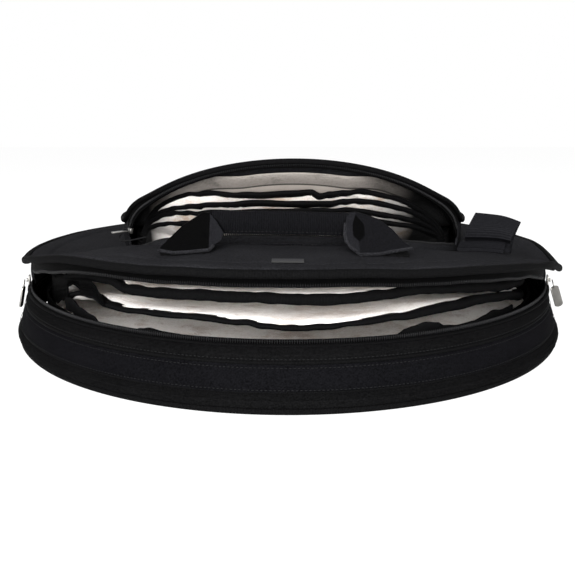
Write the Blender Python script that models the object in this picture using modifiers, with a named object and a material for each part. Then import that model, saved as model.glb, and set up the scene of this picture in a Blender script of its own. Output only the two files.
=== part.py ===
"""Cymbal bag: a round padded case with its front half unzipped, and a smaller round pocket on its lid.

The origin is the middle of the base, on the floor. +Z is up, and the open mouths and the carrying
handle face -Y. Each flexible layer bends along one chord, from zip end to zip end, so each layer is
a rear half that stays down and a front half that hinges on that chord.
"""
import math

import bmesh
import bpy
from mathutils import Matrix, Vector

GAP = 0.0003
SEAT_GAP = 0.0008

# Base and padded wall
FOOT_RADIUS = 0.3030
FOOT_BULGE = 0.0012
BASE_THICKNESS = 0.010
WALL_PADDING = 0.008
LOWER_SEAM_HEIGHT = 0.0175
UPPER_SEAM_HEIGHT = 0.040
WALL_HEIGHT = 0.051
LOWER_SEAM_DRAW = 0.0055
UPPER_SEAM_DRAW = 0.0102
WALL_TOP_DRAW = 0.0117
LOWER_SEAM_LEAN = 0.0012
UPPER_SEAM_LEAN = 0.0035
WALL_TOP_LEAN = 0.0090
WALL_TOP_RADIUS = FOOT_RADIUS + FOOT_BULGE - WALL_TOP_DRAW - WALL_TOP_LEAN
BAND_BULGE = 0.0022
FLEECE_THICKNESS = 0.004
PIPING_RADIUS = 0.0035

# Main lid, whose top is a level sheet that swells up towards the mouth
LID_OVERHANG = 0.0055
LID_RADIUS = WALL_TOP_RADIUS + LID_OVERHANG
LINING_INSET = 0.015
LINING_RADIUS = LID_RADIUS - LINING_INSET
LID_LEVEL = 0.081
LID_THICKNESS = 0.006
LID_RISE = 0.037
LID_LEAN = 0.0045
LID_CROWN = 0.0085
CROWN_START_X = 0.10
CROWN_RUN_X = 0.13
CROWN_START_Y = -0.16
CROWN_RUN_Y = 0.08
CROWN_RIM_RADIUS = 0.235
CROWN_RIM_RUN = 0.05
CROWN_RIM_Y = 0.04
CROWN_RIM_RUN_Y = 0.10
RISE_START_Y = 0.010
RISE_RUN = 0.220
RISE_SIDE_SETBACK = 0.070
FOLD_Y = -0.050
FOLD_AXIS_HEIGHT = 0.0965
FOLD_GAP = 0.0065
LID_OPENING = math.radians(18)
LID_CLOSING = math.radians(9.8)

# Zips
TAPE_THICKNESS = 0.0015
GUSSET_THICKNESS = 0.003
TEETH_RADIUS = 0.0018
LOWER_TAPE_HEIGHT = 0.0030
SKIRT_DROP = 0.0085
MAIN_ZIP_INSET = 0.0035
MAIN_ZIP_Y = 0.0119
MAIN_ZIP_RADIUS = WALL_TOP_RADIUS - MAIN_ZIP_INSET + MAIN_ZIP_Y
UPPER_ZIP_INSET = 0.004
ZIP_END_SETBACK = 0.006

# Dividers of the main compartment
DIVIDER_THICKNESS = 0.005
DIVIDER_SIDE_CLEARANCE = 0.0035
UPPER_DIVIDER_LEVEL = 0.060
LOWER_DIVIDER_LEVEL = 0.040
UPPER_DIVIDER_LIFT = math.radians(7.8)
LOWER_DIVIDER_LIFT = math.radians(6.0)
BINDING_RADIUS = 0.0032

# Pocket on the lid
POCKET_RADIUS = 0.200
POCKET_X = 0.005
POCKET_Y = 0.035
POCKET_LEVEL = 0.120
POCKET_PANEL_THICKNESS = 0.005
POCKET_LINING_THICKNESS = 0.003
POCKET_PIPING_RADIUS = 0.0028
POCKET_WALL_HEIGHT = 0.009
POCKET_WALL_THICKNESS = 0.003
POCKET_BAND_HEIGHT = 0.012
POCKET_BAND_GROWTH = 0.004
POCKET_LIFT = math.radians(37.3)
POCKET_DIVIDER_THICKNESS = 0.0026
POCKET_DIVIDER_SIDE_CLEARANCE = 0.006
POCKET_DIVIDER_PITCH = 0.0040
POCKET_DIVIDER_LOWEST = 0.0925
POCKET_DIVIDER_NAMES = ("lowest", "lower", "upper", "highest")
POCKET_DIVIDER_LIFTS = (math.radians(23.0), math.radians(27.0), math.radians(29.0), math.radians(33.0))
POCKET_BINDING_RADIUS = 0.0018

# Webbing: carrying handle and strap tab
WEBBING_WIDTH = 0.047
WEBBING_THICKNESS = 0.0022
HANDLE_FOOT_Y = -0.219
HANDLE_LEFT_X = -0.0935
HANDLE_RIGHT_X = 0.0800
HANDLE_GRIP_HEIGHT = 0.0180
HANDLE_GRIP_SETBACK = 0.0160
HANDLE_GRIP_WIDTH = 0.0200
HANDLE_GRIP_SPREAD = 0.0270
HANDLE_THICKNESS = 0.0030
HANDLE_LEG_SHARE = 0.45
HANDLE_CLIMB_SHARE = 0.85
HANDLE_TURN_START_SHARE = 0.15
ANCHOR_LENGTH = 0.046
TAB_X = 0.214
TAB_Y = -0.0945
TAB_TURN = math.radians(-24.0)
TAB_PATCH_LENGTH = 0.024
TAB_LOOP_HEIGHT = 0.030
TAB_SEAT = 0.0018
TAB_LOOP_LENGTH = 0.018

# Metal sliders and pulls
SLIDER_LENGTH = 0.012
SLIDER_HEIGHT = 0.0105
SLIDER_DEPTH = 0.0055
SLIDER_BEVEL = 0.0012
LEFT_SLIDER_ANGLE = math.radians(-165.0)
RIGHT_SLIDER_ANGLE = math.radians(-15.0)
PULL_WIDTH = 0.0100
PULL_LENGTH = 0.0330
PULL_THICKNESS = 0.0018
PULL_LEAN = math.radians(21.0)
POCKET_SLIDER_SIZE = (0.0042, 0.0090, 0.0060)
POCKET_PULL_SIZE = (0.0016, 0.0070, 0.0190)
POCKET_PULL_LEAN = math.radians(76.5)

# Woven label sewn in the lid, with no lettering
LABEL_WIDTH = 0.026
LABEL_DEPTH = 0.016
LABEL_THICKNESS = 0.0008
LABEL_Y = -0.246
LABEL_X = 0.016

# Facet counts
RING_STEPS = 48
ARC_COLUMNS = 30
HANDLE_COLUMNS = 28
LOOP_COLUMNS = 8
ROD_SIDES = 1
FLAT_ROW_SHARES = (0, 1)
PATCH_ROW_SHARES = (0, 0.5, 1)
FRONT_ROW_SHARES = (0, 0.14, 0.28, 0.42, 0.56, 0.70, 0.85, 1)
REAR_ROW_SHARES = (0, 0.09, 0.20, 1)

BLACK_CLOTH = ("black_cloth", (0.012, 0.012, 0.014, 1), 0.75, 0)
INK_CLOTH = ("ink_cloth", (0.018, 0.018, 0.024, 1), 0.75, 0)
BLACK_TAPE = ("black_tape", (0.010, 0.010, 0.011, 1), 0.6, 0)
BLACK_TEETH = ("black_teeth", (0.020, 0.020, 0.022, 1), 0.35, 0)
WEBBING = ("webbing", (0.014, 0.014, 0.017, 1), 0.6, 0)
FLEECE = ("fleece", (0.80, 0.76, 0.71, 1), 0.95, 0)
NICKEL = ("nickel", (0.55, 0.53, 0.49, 1), 0.3, 1)
LABEL_WEAVE = ("label_weave", (0.75, 0.73, 0.70, 1), 0.7, 0)

parts = None
pivots = {}


def clear_scene():
    for item in list(bpy.data.objects):
        bpy.data.objects.remove(item)


def collection(name):
    made = bpy.data.collections.new(name)
    bpy.context.scene.collection.children.link(made)
    return made


def material(look):
    name, colour, roughness, metallic = look
    made = bpy.data.materials.get(name)
    if made is None:
        made = bpy.data.materials.new(name)
        made.use_nodes = True
        shader = made.node_tree.nodes["Principled BSDF"]
        shader.inputs["Base Color"].default_value = colour
        shader.inputs["Roughness"].default_value = roughness
        shader.inputs["Metallic"].default_value = metallic
    return made


def add_pivot(name, place, turn=0, parent=None):
    """An empty on a joint's axis, which carries what the joint moves."""
    pivot = bpy.data.objects.new(name, None)
    pivot.location = place
    pivot.rotation_euler = (turn, 0, 0)
    parts.objects.link(pivot)
    if parent:
        pivot.parent = parent
        pivot.location = Vector(place) - parent.location
    pivots[name] = Vector(place)
    return pivot


def add_piece(name, data, look, pivot=None):
    """A named piece whose data is in the bag's own frame, moved into its pivot's frame if it has one."""
    data.materials.append(material(look))
    piece = bpy.data.objects.new(name, data)
    parts.objects.link(piece)
    if pivot:
        data.transform(Matrix.Translation(-pivots[pivot.name]))
        piece.parent = pivot
    return piece


def mesh_from(work, name):
    data = bpy.data.meshes.new(name)
    bmesh.ops.remove_doubles(work, verts=work.verts, dist=GAP / 3)
    bmesh.ops.recalc_face_normals(work, faces=work.faces)
    work.to_mesh(data)
    work.free()
    data.shade_smooth()
    data.set_sharp_from_angle(angle=math.radians(40))
    return data


def skin(name, columns, rows, place, thickness, look, pivot=None):
    """A sheet of cloth: a grid laid where place(u, v) says, given its thickness away from its outer face."""
    work = bmesh.new()
    bmesh.ops.create_grid(work, x_segments=columns, y_segments=rows, size=0.5)
    for corner in work.verts:
        corner.co = place(corner.co.x + 0.5, corner.co.y + 0.5)
    data = bpy.data.meshes.new(name)
    bmesh.ops.remove_doubles(work, verts=work.verts, dist=GAP / 3)
    work.to_mesh(data)
    work.free()
    data.shade_smooth()
    data.set_sharp_from_angle(angle=math.radians(40))
    piece = add_piece(name, data, look, pivot)
    wall = piece.modifiers.new("cloth", "SOLIDIFY")
    wall.thickness = thickness
    wall.offset = -1
    wall.use_even_offset = True
    return piece


def slab(name, columns, row_shares, place, thickness, look, pivot=None):
    """A lying sheet: a grid laid where place(u, v) puts its top, thickened straight down.

    Its facets are split into triangles first, so sheets laid on one grid match face to face.
    """
    work = bmesh.new()
    rows = len(row_shares) - 1
    bmesh.ops.create_grid(work, x_segments=columns, y_segments=rows, size=0.5)
    bmesh.ops.triangulate(work, faces=work.faces)
    for corner in work.verts:
        row = round((corner.co.y + 0.5) * rows)
        corner.co = place(corner.co.x + 0.5, row_shares[row])
    bmesh.ops.remove_doubles(work, verts=work.verts, dist=GAP / 3)
    grown = bmesh.ops.extrude_face_region(work, geom=work.faces[:])
    lower = [item for item in grown["geom"] if isinstance(item, bmesh.types.BMVert)]
    bmesh.ops.translate(work, vec=(0, 0, -thickness), verts=lower)
    return add_piece(name, mesh_from(work, name), look, pivot)


def leaning_ring(name, outline, look):
    """A closed outline of (radius, height, lean) turned round Z, drawn in by its lean at the front."""
    work = bmesh.new()
    columns = []
    for number in range(RING_STEPS):
        angle = 2 * math.pi * number / RING_STEPS
        ahead = max(-math.sin(angle), 0)
        column = []
        for radius, height, lean in outline:
            reach = radius - lean * ahead
            column.append(work.verts.new((reach * math.cos(angle), reach * math.sin(angle), height)))
        columns.append(column)
    for number, column in enumerate(columns):
        beside = columns[(number + 1) % RING_STEPS]
        for corner in range(len(outline)):
            after = (corner + 1) % len(outline)
            work.faces.new((column[corner], beside[corner], beside[after], column[after]))
    bmesh.ops.recalc_face_normals(work, faces=work.faces)
    return add_piece(name, mesh_from(work, name), look)


def turned_ring(name, outline, look):
    """A closed outline of (radius, height), given from the top of its outer side downwards, turned round Z."""
    work = bmesh.new()
    corners = [work.verts.new((radius, 0, height)) for radius, height in outline]
    for number, corner in enumerate(corners):
        work.edges.new((corner, corners[(number + 1) % len(corners)]))
    data = bpy.data.meshes.new(name)
    work.to_mesh(data)
    work.free()
    piece = add_piece(name, data, look)
    turn = piece.modifiers.new("turn", "SCREW")
    turn.steps = RING_STEPS
    turn.render_steps = RING_STEPS
    turn.use_merge_vertices = True
    turn.merge_threshold = GAP / 3
    turn.use_smooth_shade = True
    return piece


def rod(name, points, radius, look, pivot=None, closed=False):
    """A round cord, piping or row of zip teeth along a path."""
    curve = bpy.data.curves.new(name, "CURVE")
    curve.dimensions = "3D"
    curve.bevel_depth = radius
    curve.bevel_resolution = ROD_SIDES
    curve.use_fill_caps = True
    line = curve.splines.new("POLY")
    line.points.add(len(points) - 1)
    for point, place in zip(line.points, points):
        point.co = (*place, 1)
    line.use_cyclic_u = closed
    return add_piece(name, curve, look, pivot)


def block(name, size, matrix, look, pivot=None, bevel=0):
    """A box, with its edges bevelled before it is placed."""
    work = bmesh.new()
    bmesh.ops.create_cube(work, size=1)
    bmesh.ops.scale(work, vec=size, verts=work.verts)
    if bevel:
        bmesh.ops.bevel(work, geom=work.edges, offset=bevel, segments=1, affect="EDGES")
    bmesh.ops.transform(work, matrix=matrix, verts=work.verts)
    return add_piece(name, mesh_from(work, name), look, pivot)


def smooth(share):
    share = min(max(share, 0), 1)
    return share * share * (3 - 2 * share)


def lid_top(x, y):
    """Height of the lid's outer face, which swells up to the front rim and is crowned at its right."""
    start = RISE_START_Y - RISE_SIDE_SETBACK * (x / LID_RADIUS) ** 2
    crown = smooth((x - CROWN_START_X) / CROWN_RUN_X) * smooth((y - CROWN_START_Y) / CROWN_RUN_Y)
    rim = smooth((math.hypot(x, y) - CROWN_RIM_RADIUS) / CROWN_RIM_RUN)
    crown *= 1 - rim * smooth((CROWN_RIM_Y - y) / CROWN_RIM_RUN_Y)
    level = LID_LEVEL + LID_RISE * smooth((start - y) / RISE_RUN) - LID_LEAN * x / LID_RADIUS
    return level + LID_CROWN * crown


def chord_angle(radius, centre_y, line_y):
    """Angle, below +X, at which a circle meets the line y = line_y."""
    return math.asin((line_y - centre_y) / radius)


def arc_angles(radius, centre_y, line_y, front, count):
    """Angles along a circle's front or rear stretch, from its left end to its right end."""
    low = chord_angle(radius, centre_y, line_y)
    if front:
        first, last = math.pi - low, 2 * math.pi + low
    else:
        first, last = math.pi - low, low
    return [first + (last - first) * number / count for number in range(count + 1)]


def arc_path(radius, centre, line_y, front, height, count=ARC_COLUMNS):
    """Points along that stretch, at the height that height(x, y) gives."""
    points = []
    for angle in arc_angles(radius, centre[1], line_y, front, count):
        x = centre[0] + radius * math.cos(angle)
        y = centre[1] + radius * math.sin(angle)
        points.append((x, y, height(x, y)))
    return points


def half_point(centre, radius, line_y, front, u, v):
    """A point of a half-round sheet: u runs from its left end to its right, v from chord to arc."""
    low = chord_angle(radius, centre[1], line_y)
    sweep = math.pi + 2 * low if front else -math.pi + 2 * low
    angle = math.pi - low + sweep * u
    side = -math.cos(math.pi * u) * radius * math.cos(low)
    x = side + (radius * math.cos(angle) - side) * v
    y = line_y + (centre[1] + radius * math.sin(angle) - line_y) * v
    return centre[0] + x, y


def half_layer(name, centre, radius, line_y, front, top, thickness, look, pivot=None,
               rows=FLAT_ROW_SHARES, rim=None):
    """A half-round sheet between a line across the bag and a circle, with one more row out to rim."""
    rim_row = rows[-1] + 1
    if rim:
        rows = rows + (rim_row,)

    def place(u, v):
        u = 1 - u if front else u
        if v == rim_row:
            x, y = half_point(centre, rim, line_y, front, u, 1)
        else:
            x, y = half_point(centre, radius, line_y, front, u, v)
        return Vector((x, y, top(x, y)))

    return slab(name, ARC_COLUMNS, rows, place, thickness, look, pivot)


def arc_wall(name, centre, line_y, front, low, high, thickness, look, pivot=None):
    """An upright strip round a circle's front or rear; low and high give (radius, height) at x, y."""
    reference = low(0, line_y)[0]
    angles = arc_angles(reference, centre[1], line_y, front, ARC_COLUMNS)

    def place(u, v):
        angle = angles[0] + (angles[-1] - angles[0]) * u
        x = centre[0] + reference * math.cos(angle)
        y = centre[1] + reference * math.sin(angle)
        radius_low, height_low = low(x, y)
        radius_high, height_high = high(x, y)
        radius = radius_low + (radius_high - radius_low) * v
        height = height_low + (height_high - height_low) * v
        return Vector((centre[0] + radius * math.cos(angle), centre[1] + radius * math.sin(angle), height))

    if front:
        return skin(name, ARC_COLUMNS, 1, place, thickness, look, pivot)
    return skin(name, ARC_COLUMNS, 1, lambda u, v: place(1 - u, v), thickness, look, pivot)


def wall_radius(draw):
    return FOOT_RADIUS + FOOT_BULGE - draw


def padded_band(name, foot, head, look, step=()):
    """One band of the padded wall, swelling between its seams.

    foot and head give its height, draw and front lean; step lists corners cut from its foot.
    """
    bottom, bottom_draw, bottom_lean = foot
    top, top_draw, top_lean = head
    middle_radius = wall_radius((bottom_draw + top_draw) / 2) + BAND_BULGE
    inner = WALL_TOP_RADIUS - WALL_PADDING
    outline = [(wall_radius(top_draw), top, top_lean),
               (middle_radius, (bottom + top) / 2, (bottom_lean + top_lean) / 2),
               (wall_radius(bottom_draw), bottom, bottom_lean)]
    outline += step or [(inner, bottom, 0)]
    outline += [(inner, top, 0)]
    return leaning_ring(name, outline, look)


def make_base():
    """Floor of the bag, the three bands of its wall, the piping round its foot and the fleece inside."""
    inner = WALL_TOP_RADIUS - WALL_PADDING
    floor_radius = FOOT_RADIUS - 2 * PIPING_RADIUS - GAP
    work = bmesh.new()
    bmesh.ops.create_cone(work, cap_ends=True, segments=RING_STEPS, radius1=floor_radius,
                          radius2=floor_radius, depth=BASE_THICKNESS)
    bmesh.ops.translate(work, vec=(0, 0, BASE_THICKNESS / 2), verts=work.verts)
    add_piece("base_panel", mesh_from(work, "base_panel"), BLACK_CLOTH)

    foot = FOOT_RADIUS - PIPING_RADIUS
    points = []
    for number in range(RING_STEPS):
        angle = 2 * math.pi * number / RING_STEPS
        points.append((foot * math.cos(angle), foot * math.sin(angle), PIPING_RADIUS))
    rod("base_piping", points, PIPING_RADIUS, BLACK_TAPE, closed=True)

    band_foot = 2 * PIPING_RADIUS + GAP
    over_base = BASE_THICKNESS + GAP
    step = [(floor_radius + 2 * GAP, band_foot, 0), (floor_radius + 2 * GAP, over_base, 0),
            (inner, over_base, 0)]
    padded_band("wall_lower_band", (band_foot, 0, 0),
                (LOWER_SEAM_HEIGHT - GAP / 2, LOWER_SEAM_DRAW, LOWER_SEAM_LEAN), BLACK_CLOTH, step)
    padded_band("wall_middle_band", (LOWER_SEAM_HEIGHT + GAP / 2, LOWER_SEAM_DRAW, LOWER_SEAM_LEAN),
                (UPPER_SEAM_HEIGHT - GAP / 2, UPPER_SEAM_DRAW, UPPER_SEAM_LEAN), INK_CLOTH)
    padded_band("wall_upper_band", (UPPER_SEAM_HEIGHT + GAP / 2, UPPER_SEAM_DRAW, UPPER_SEAM_LEAN),
                (WALL_HEIGHT, WALL_TOP_DRAW, WALL_TOP_LEAN), BLACK_CLOTH)

    lining_outer = inner - GAP
    lining_inner = lining_outer - FLEECE_THICKNESS
    lining_foot = BASE_THICKNESS + GAP
    turned_ring("wall_lining", [(lining_outer, WALL_HEIGHT), (lining_outer, lining_foot),
                                (lining_inner, lining_foot), (lining_inner, WALL_HEIGHT)], FLEECE)
    floor_lining = lining_inner - GAP
    work = bmesh.new()
    bmesh.ops.create_cone(work, cap_ends=True, segments=RING_STEPS, radius1=floor_lining,
                          radius2=floor_lining, depth=FLEECE_THICKNESS)
    lift = BASE_THICKNESS + GAP + FLEECE_THICKNESS / 2
    bmesh.ops.translate(work, vec=(0, 0, lift), verts=work.verts)
    add_piece("floor_lining", mesh_from(work, "floor_lining"), FLEECE)
    return lining_inner


def make_lower_zip():
    """Zip tape and teeth along the front of the wall, from one zip end to the other."""
    foot = WALL_HEIGHT + GAP
    top = foot + LOWER_TAPE_HEIGHT
    line = FOLD_Y - ZIP_END_SETBACK
    arc_wall("lower_zip_tape", (0, MAIN_ZIP_Y), line, True, lambda x, y: (MAIN_ZIP_RADIUS, foot),
             lambda x, y: (MAIN_ZIP_RADIUS, top), TAPE_THICKNESS, BLACK_TAPE)
    teeth = top + GAP + TEETH_RADIUS
    path = arc_path(MAIN_ZIP_RADIUS - TAPE_THICKNESS / 2, (0, MAIN_ZIP_Y), line, True, lambda x, y: teeth)
    rod("lower_zip_teeth", path, TEETH_RADIUS, BLACK_TEETH)
    return teeth


def gusset_radius():
    """Reach of the zip's ends from the bag's middle, which the gusset carries on round the rear."""
    line = FOLD_Y - ZIP_END_SETBACK
    return math.hypot(MAIN_ZIP_RADIUS * math.cos(chord_angle(MAIN_ZIP_RADIUS, MAIN_ZIP_Y, line)), line)


def make_rear_shell():
    """Rear half of the lid, sewn down, with its gusset, lining and rim piping."""
    line = FOLD_Y + FOLD_GAP / 2
    half_layer("rear_lid_panel", (0, 0), LINING_RADIUS, line, False, lid_top, LID_THICKNESS, BLACK_CLOTH,
               rows=REAR_ROW_SHARES, rim=LID_RADIUS)

    def lining_top(x, y):
        return lid_top(x, y) - LID_THICKNESS - GAP

    half_layer("rear_lid_lining", (0, 0), LINING_RADIUS, line, False, lining_top, FLEECE_THICKNESS, FLEECE,
               rows=REAR_ROW_SHARES)

    radius = gusset_radius()

    def gusset_foot(x, y):
        return radius, WALL_HEIGHT + GAP

    def gusset_head(x, y):
        return radius, lid_top(x, y) - LID_THICKNESS - SEAT_GAP

    arc_wall("rear_gusset", (0, 0), line, False, gusset_foot, gusset_head, GUSSET_THICKNESS, BLACK_CLOTH)

    def piping_height(x, y):
        return lid_top(x, y) - LID_THICKNESS / 2

    path = arc_path(LID_RADIUS + PIPING_RADIUS + GAP, (0, 0), line, False, piping_height)
    rod("rear_lid_piping", path, PIPING_RADIUS, BLACK_TAPE)


def make_front_shell(pivot):
    """Front half of the lid with its lining, rim piping, zip skirt and upper row of teeth."""
    line = FOLD_Y - FOLD_GAP / 2
    half_layer("front_lid_panel", (0, 0), LINING_RADIUS, line, True, lid_top, LID_THICKNESS, BLACK_CLOTH,
               pivot, FRONT_ROW_SHARES, LID_RADIUS)

    def lining_top(x, y):
        return lid_top(x, y) - LID_THICKNESS - GAP

    half_layer("front_lid_lining", (0, 0), LINING_RADIUS, line, True, lining_top, FLEECE_THICKNESS,
               FLEECE, pivot, FRONT_ROW_SHARES)

    def piping_height(x, y):
        return lid_top(x, y) - LID_THICKNESS / 2

    path = arc_path(LID_RADIUS + PIPING_RADIUS + GAP, (0, 0), line, True, piping_height)
    rod("front_lid_piping", path, PIPING_RADIUS, BLACK_TAPE, pivot)

    skirt_line = line - ZIP_END_SETBACK
    skirt_radius = MAIN_ZIP_RADIUS - UPPER_ZIP_INSET

    def skirt_head(x, y):
        return skirt_radius, lid_top(x, y) - LID_THICKNESS - SEAT_GAP

    def skirt_hem(x, y):
        return skirt_radius, lid_top(x, y) - LID_THICKNESS - SKIRT_DROP

    arc_wall("upper_zip_tape", (0, MAIN_ZIP_Y), skirt_line, True, skirt_hem, skirt_head, TAPE_THICKNESS,
             BLACK_TAPE, pivot)

    def teeth_height(x, y):
        return skirt_hem(x, y)[1] - GAP - TEETH_RADIUS

    path = arc_path(skirt_radius - TAPE_THICKNESS / 2, (0, MAIN_ZIP_Y), skirt_line, True, teeth_height)
    rod("upper_zip_teeth", path, TEETH_RADIUS, BLACK_TEETH, pivot)


def rear_setback(level):
    """Room behind the fold for an edge at this level, which moves back as the main lid turns."""
    above = level - FOLD_AXIS_HEIGHT
    turn = LID_OPENING if above > 0 else LID_CLOSING
    return abs(above) * math.sin(turn) + GAP


def make_fold_strip(name, centre_x, reach, near, far, top, thickness, look):
    """The soft crease that joins a rear half to its front half, squeezed as the front half moves."""
    def place(u, v):
        x = centre_x - reach + 2 * reach * u
        y = near + (far - near) * v
        return Vector((x, y, top(x, y)))

    slab(name, ARC_COLUMNS, FLAT_ROW_SHARES, place, thickness, look)


def make_folds():
    """Creases of the main lid and of the pocket's top."""
    lid_reach = LID_RADIUS * math.cos(chord_angle(LID_RADIUS, 0, FOLD_Y)) - 2 * PIPING_RADIUS
    make_fold_strip("lid_fold", 0, lid_reach, FOLD_Y - FOLD_GAP / 2 + GAP, FOLD_Y + FOLD_GAP / 2 - GAP,
                    lid_top, LID_THICKNESS, BLACK_CLOTH)
    low = chord_angle(POCKET_RADIUS, POCKET_Y, FOLD_Y)
    pocket_reach = POCKET_RADIUS * math.cos(low) - 2 * POCKET_PIPING_RADIUS
    make_fold_strip("pocket_fold", POCKET_X, pocket_reach, FOLD_Y, FOLD_Y + rear_setback(POCKET_LEVEL) - GAP,
                    lambda x, y: POCKET_LEVEL, POCKET_PANEL_THICKNESS, BLACK_CLOTH)


def make_main_dividers(lining_radius):
    """Two fleece dividers, each sewn in at the rear, with a bound front edge."""
    inside_lining = lining_radius * math.cos(math.pi / RING_STEPS) - GAP
    inside_gusset = (gusset_radius() - GUSSET_THICKNESS) * math.cos(math.pi / RING_STEPS) - GAP
    sheets = (("upper", UPPER_DIVIDER_LEVEL, UPPER_DIVIDER_LIFT, inside_gusset),
              ("lower", LOWER_DIVIDER_LEVEL, LOWER_DIVIDER_LIFT, inside_lining))
    for place, level, lift, rear_radius in sheets:
        top = level + DIVIDER_THICKNESS / 2
        name = "main_divider_" + place
        half_layer(name + "_rear", (0, 0), rear_radius, FOLD_Y + GAP, False, lambda x, y: top,
                   DIVIDER_THICKNESS, FLEECE)
        pivot = add_pivot(name + "_fold", (0, FOLD_Y, level), -lift)
        front_radius = inside_lining - DIVIDER_SIDE_CLEARANCE - 2 * BINDING_RADIUS
        half_layer(name + "_front", (0, 0), front_radius, FOLD_Y - 2 * GAP, True, lambda x, y: top,
                   DIVIDER_THICKNESS, FLEECE, pivot)
        edge = front_radius + BINDING_RADIUS + GAP
        path = arc_path(edge, (0, 0), FOLD_Y - 2 * BINDING_RADIUS, True, lambda x, y: level)
        rod(name + "_binding", path, BINDING_RADIUS, BLACK_TAPE, pivot)


def make_pocket_rear():
    """Rear half of the pocket: its wall, top panel and piping, all sewn down."""
    centre = (POCKET_X, POCKET_Y)
    line = FOLD_Y + rear_setback(POCKET_LEVEL)
    under = POCKET_LEVEL - POCKET_PANEL_THICKNESS
    half_layer("pocket_panel_rear", centre, POCKET_RADIUS, line, False, lambda x, y: POCKET_LEVEL,
               POCKET_PANEL_THICKNESS, BLACK_CLOTH)
    path = arc_path(POCKET_RADIUS + POCKET_PIPING_RADIUS + GAP, centre, line, False,
                    lambda x, y: POCKET_LEVEL - POCKET_PANEL_THICKNESS / 2)
    rod("pocket_piping_rear", path, POCKET_PIPING_RADIUS, BLACK_TAPE)
    arc_wall("pocket_wall_rear", centre, line, False, lambda x, y: (POCKET_RADIUS, lid_top(x, y) + SEAT_GAP),
             lambda x, y: (POCKET_RADIUS, under - GAP), POCKET_WALL_THICKNESS, BLACK_CLOTH)


def lip_height(x, y):
    return lid_top(x, y) + SEAT_GAP + POCKET_WALL_HEIGHT


def band_drop(y):
    """Height of the pocket lid's zip band, which widens towards the fold."""
    front = POCKET_Y - POCKET_RADIUS
    return POCKET_BAND_HEIGHT + POCKET_BAND_GROWTH * smooth((y - front) / (FOLD_Y - front))


def make_pocket_front(pivot):
    """Low front wall of the pocket with its zip tape and teeth, on the front half of the lid."""
    centre = (POCKET_X, POCKET_Y)
    line = FOLD_Y - FOLD_GAP / 2
    arc_wall("pocket_wall_front", centre, line, True, lambda x, y: (POCKET_RADIUS, lid_top(x, y) + SEAT_GAP),
             lambda x, y: (POCKET_RADIUS, lip_height(x, y)), POCKET_WALL_THICKNESS, BLACK_CLOTH, pivot)
    path = arc_path(POCKET_RADIUS - POCKET_WALL_THICKNESS / 2, centre, line - TEETH_RADIUS, True,
                    lambda x, y: lip_height(x, y) + GAP + TEETH_RADIUS)
    rod("pocket_zip_teeth_lower", path, TEETH_RADIUS, BLACK_TEETH, pivot)


def make_pocket_lid(parent):
    """Front half of the pocket's top, raised on the fold, with its lining, band, teeth and piping."""
    centre = (POCKET_X, POCKET_Y)
    pivot = add_pivot("pocket_lid_fold", (0, FOLD_Y, POCKET_LEVEL), -POCKET_LIFT, parent)
    line = FOLD_Y - GAP
    under = POCKET_LEVEL - POCKET_PANEL_THICKNESS
    half_layer("pocket_panel_front", centre, POCKET_RADIUS, line, True, lambda x, y: POCKET_LEVEL,
               POCKET_PANEL_THICKNESS, BLACK_CLOTH, pivot)
    half_layer("pocket_lining_front", centre, POCKET_RADIUS - POCKET_WALL_THICKNESS - 2 * GAP, line, True,
               lambda x, y: under - GAP, POCKET_LINING_THICKNESS, FLEECE, pivot)
    path = arc_path(POCKET_RADIUS + POCKET_PIPING_RADIUS + GAP, centre, line - POCKET_PIPING_RADIUS, True,
                    lambda x, y: POCKET_LEVEL - POCKET_PANEL_THICKNESS / 2)
    rod("pocket_piping_front", path, POCKET_PIPING_RADIUS, BLACK_TAPE, pivot)
    arc_wall("pocket_zip_band", centre, line, True,
             lambda x, y: (POCKET_RADIUS, POCKET_LEVEL - band_drop(y)),
             lambda x, y: (POCKET_RADIUS, under - GAP), POCKET_WALL_THICKNESS / 2, BLACK_TAPE, pivot)
    path = arc_path(POCKET_RADIUS - POCKET_WALL_THICKNESS / 4, centre, line - TEETH_RADIUS, True,
                    lambda x, y: POCKET_LEVEL - band_drop(y) - GAP - TEETH_RADIUS)
    rod("pocket_zip_teeth_upper", path, TEETH_RADIUS, BLACK_TEETH, pivot)


def make_pocket_dividers(parent):
    """Four dividers in the pocket, fanned out by their front halves, which turn on their top edges."""
    centre = (POCKET_X, POCKET_Y)
    radius = POCKET_RADIUS - POCKET_WALL_THICKNESS - 2 * GAP
    for number, lift in enumerate(POCKET_DIVIDER_LIFTS):
        top = POCKET_DIVIDER_LOWEST + POCKET_DIVIDER_PITCH * number
        middle = top - POCKET_DIVIDER_THICKNESS / 2
        name = "pocket_divider_" + POCKET_DIVIDER_NAMES[number]
        half_layer(name + "_rear", centre, radius, FOLD_Y + rear_setback(top), False,
                   lambda x, y, top=top: top, POCKET_DIVIDER_THICKNESS, FLEECE)
        pivot = add_pivot(name + "_fold", (0, FOLD_Y, top), -lift, parent)
        front_radius = radius - POCKET_DIVIDER_SIDE_CLEARANCE - 2 * POCKET_BINDING_RADIUS
        half_layer(name + "_front", centre, front_radius, FOLD_Y - GAP, True,
                   lambda x, y, top=top: top, POCKET_DIVIDER_THICKNESS, FLEECE, pivot)
        path = arc_path(front_radius + POCKET_BINDING_RADIUS + GAP, centre, FOLD_Y - 2 * BINDING_RADIUS,
                        True, lambda x, y, middle=middle: middle)
        rod(name + "_binding", path, POCKET_BINDING_RADIUS, BLACK_TAPE, pivot)


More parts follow.
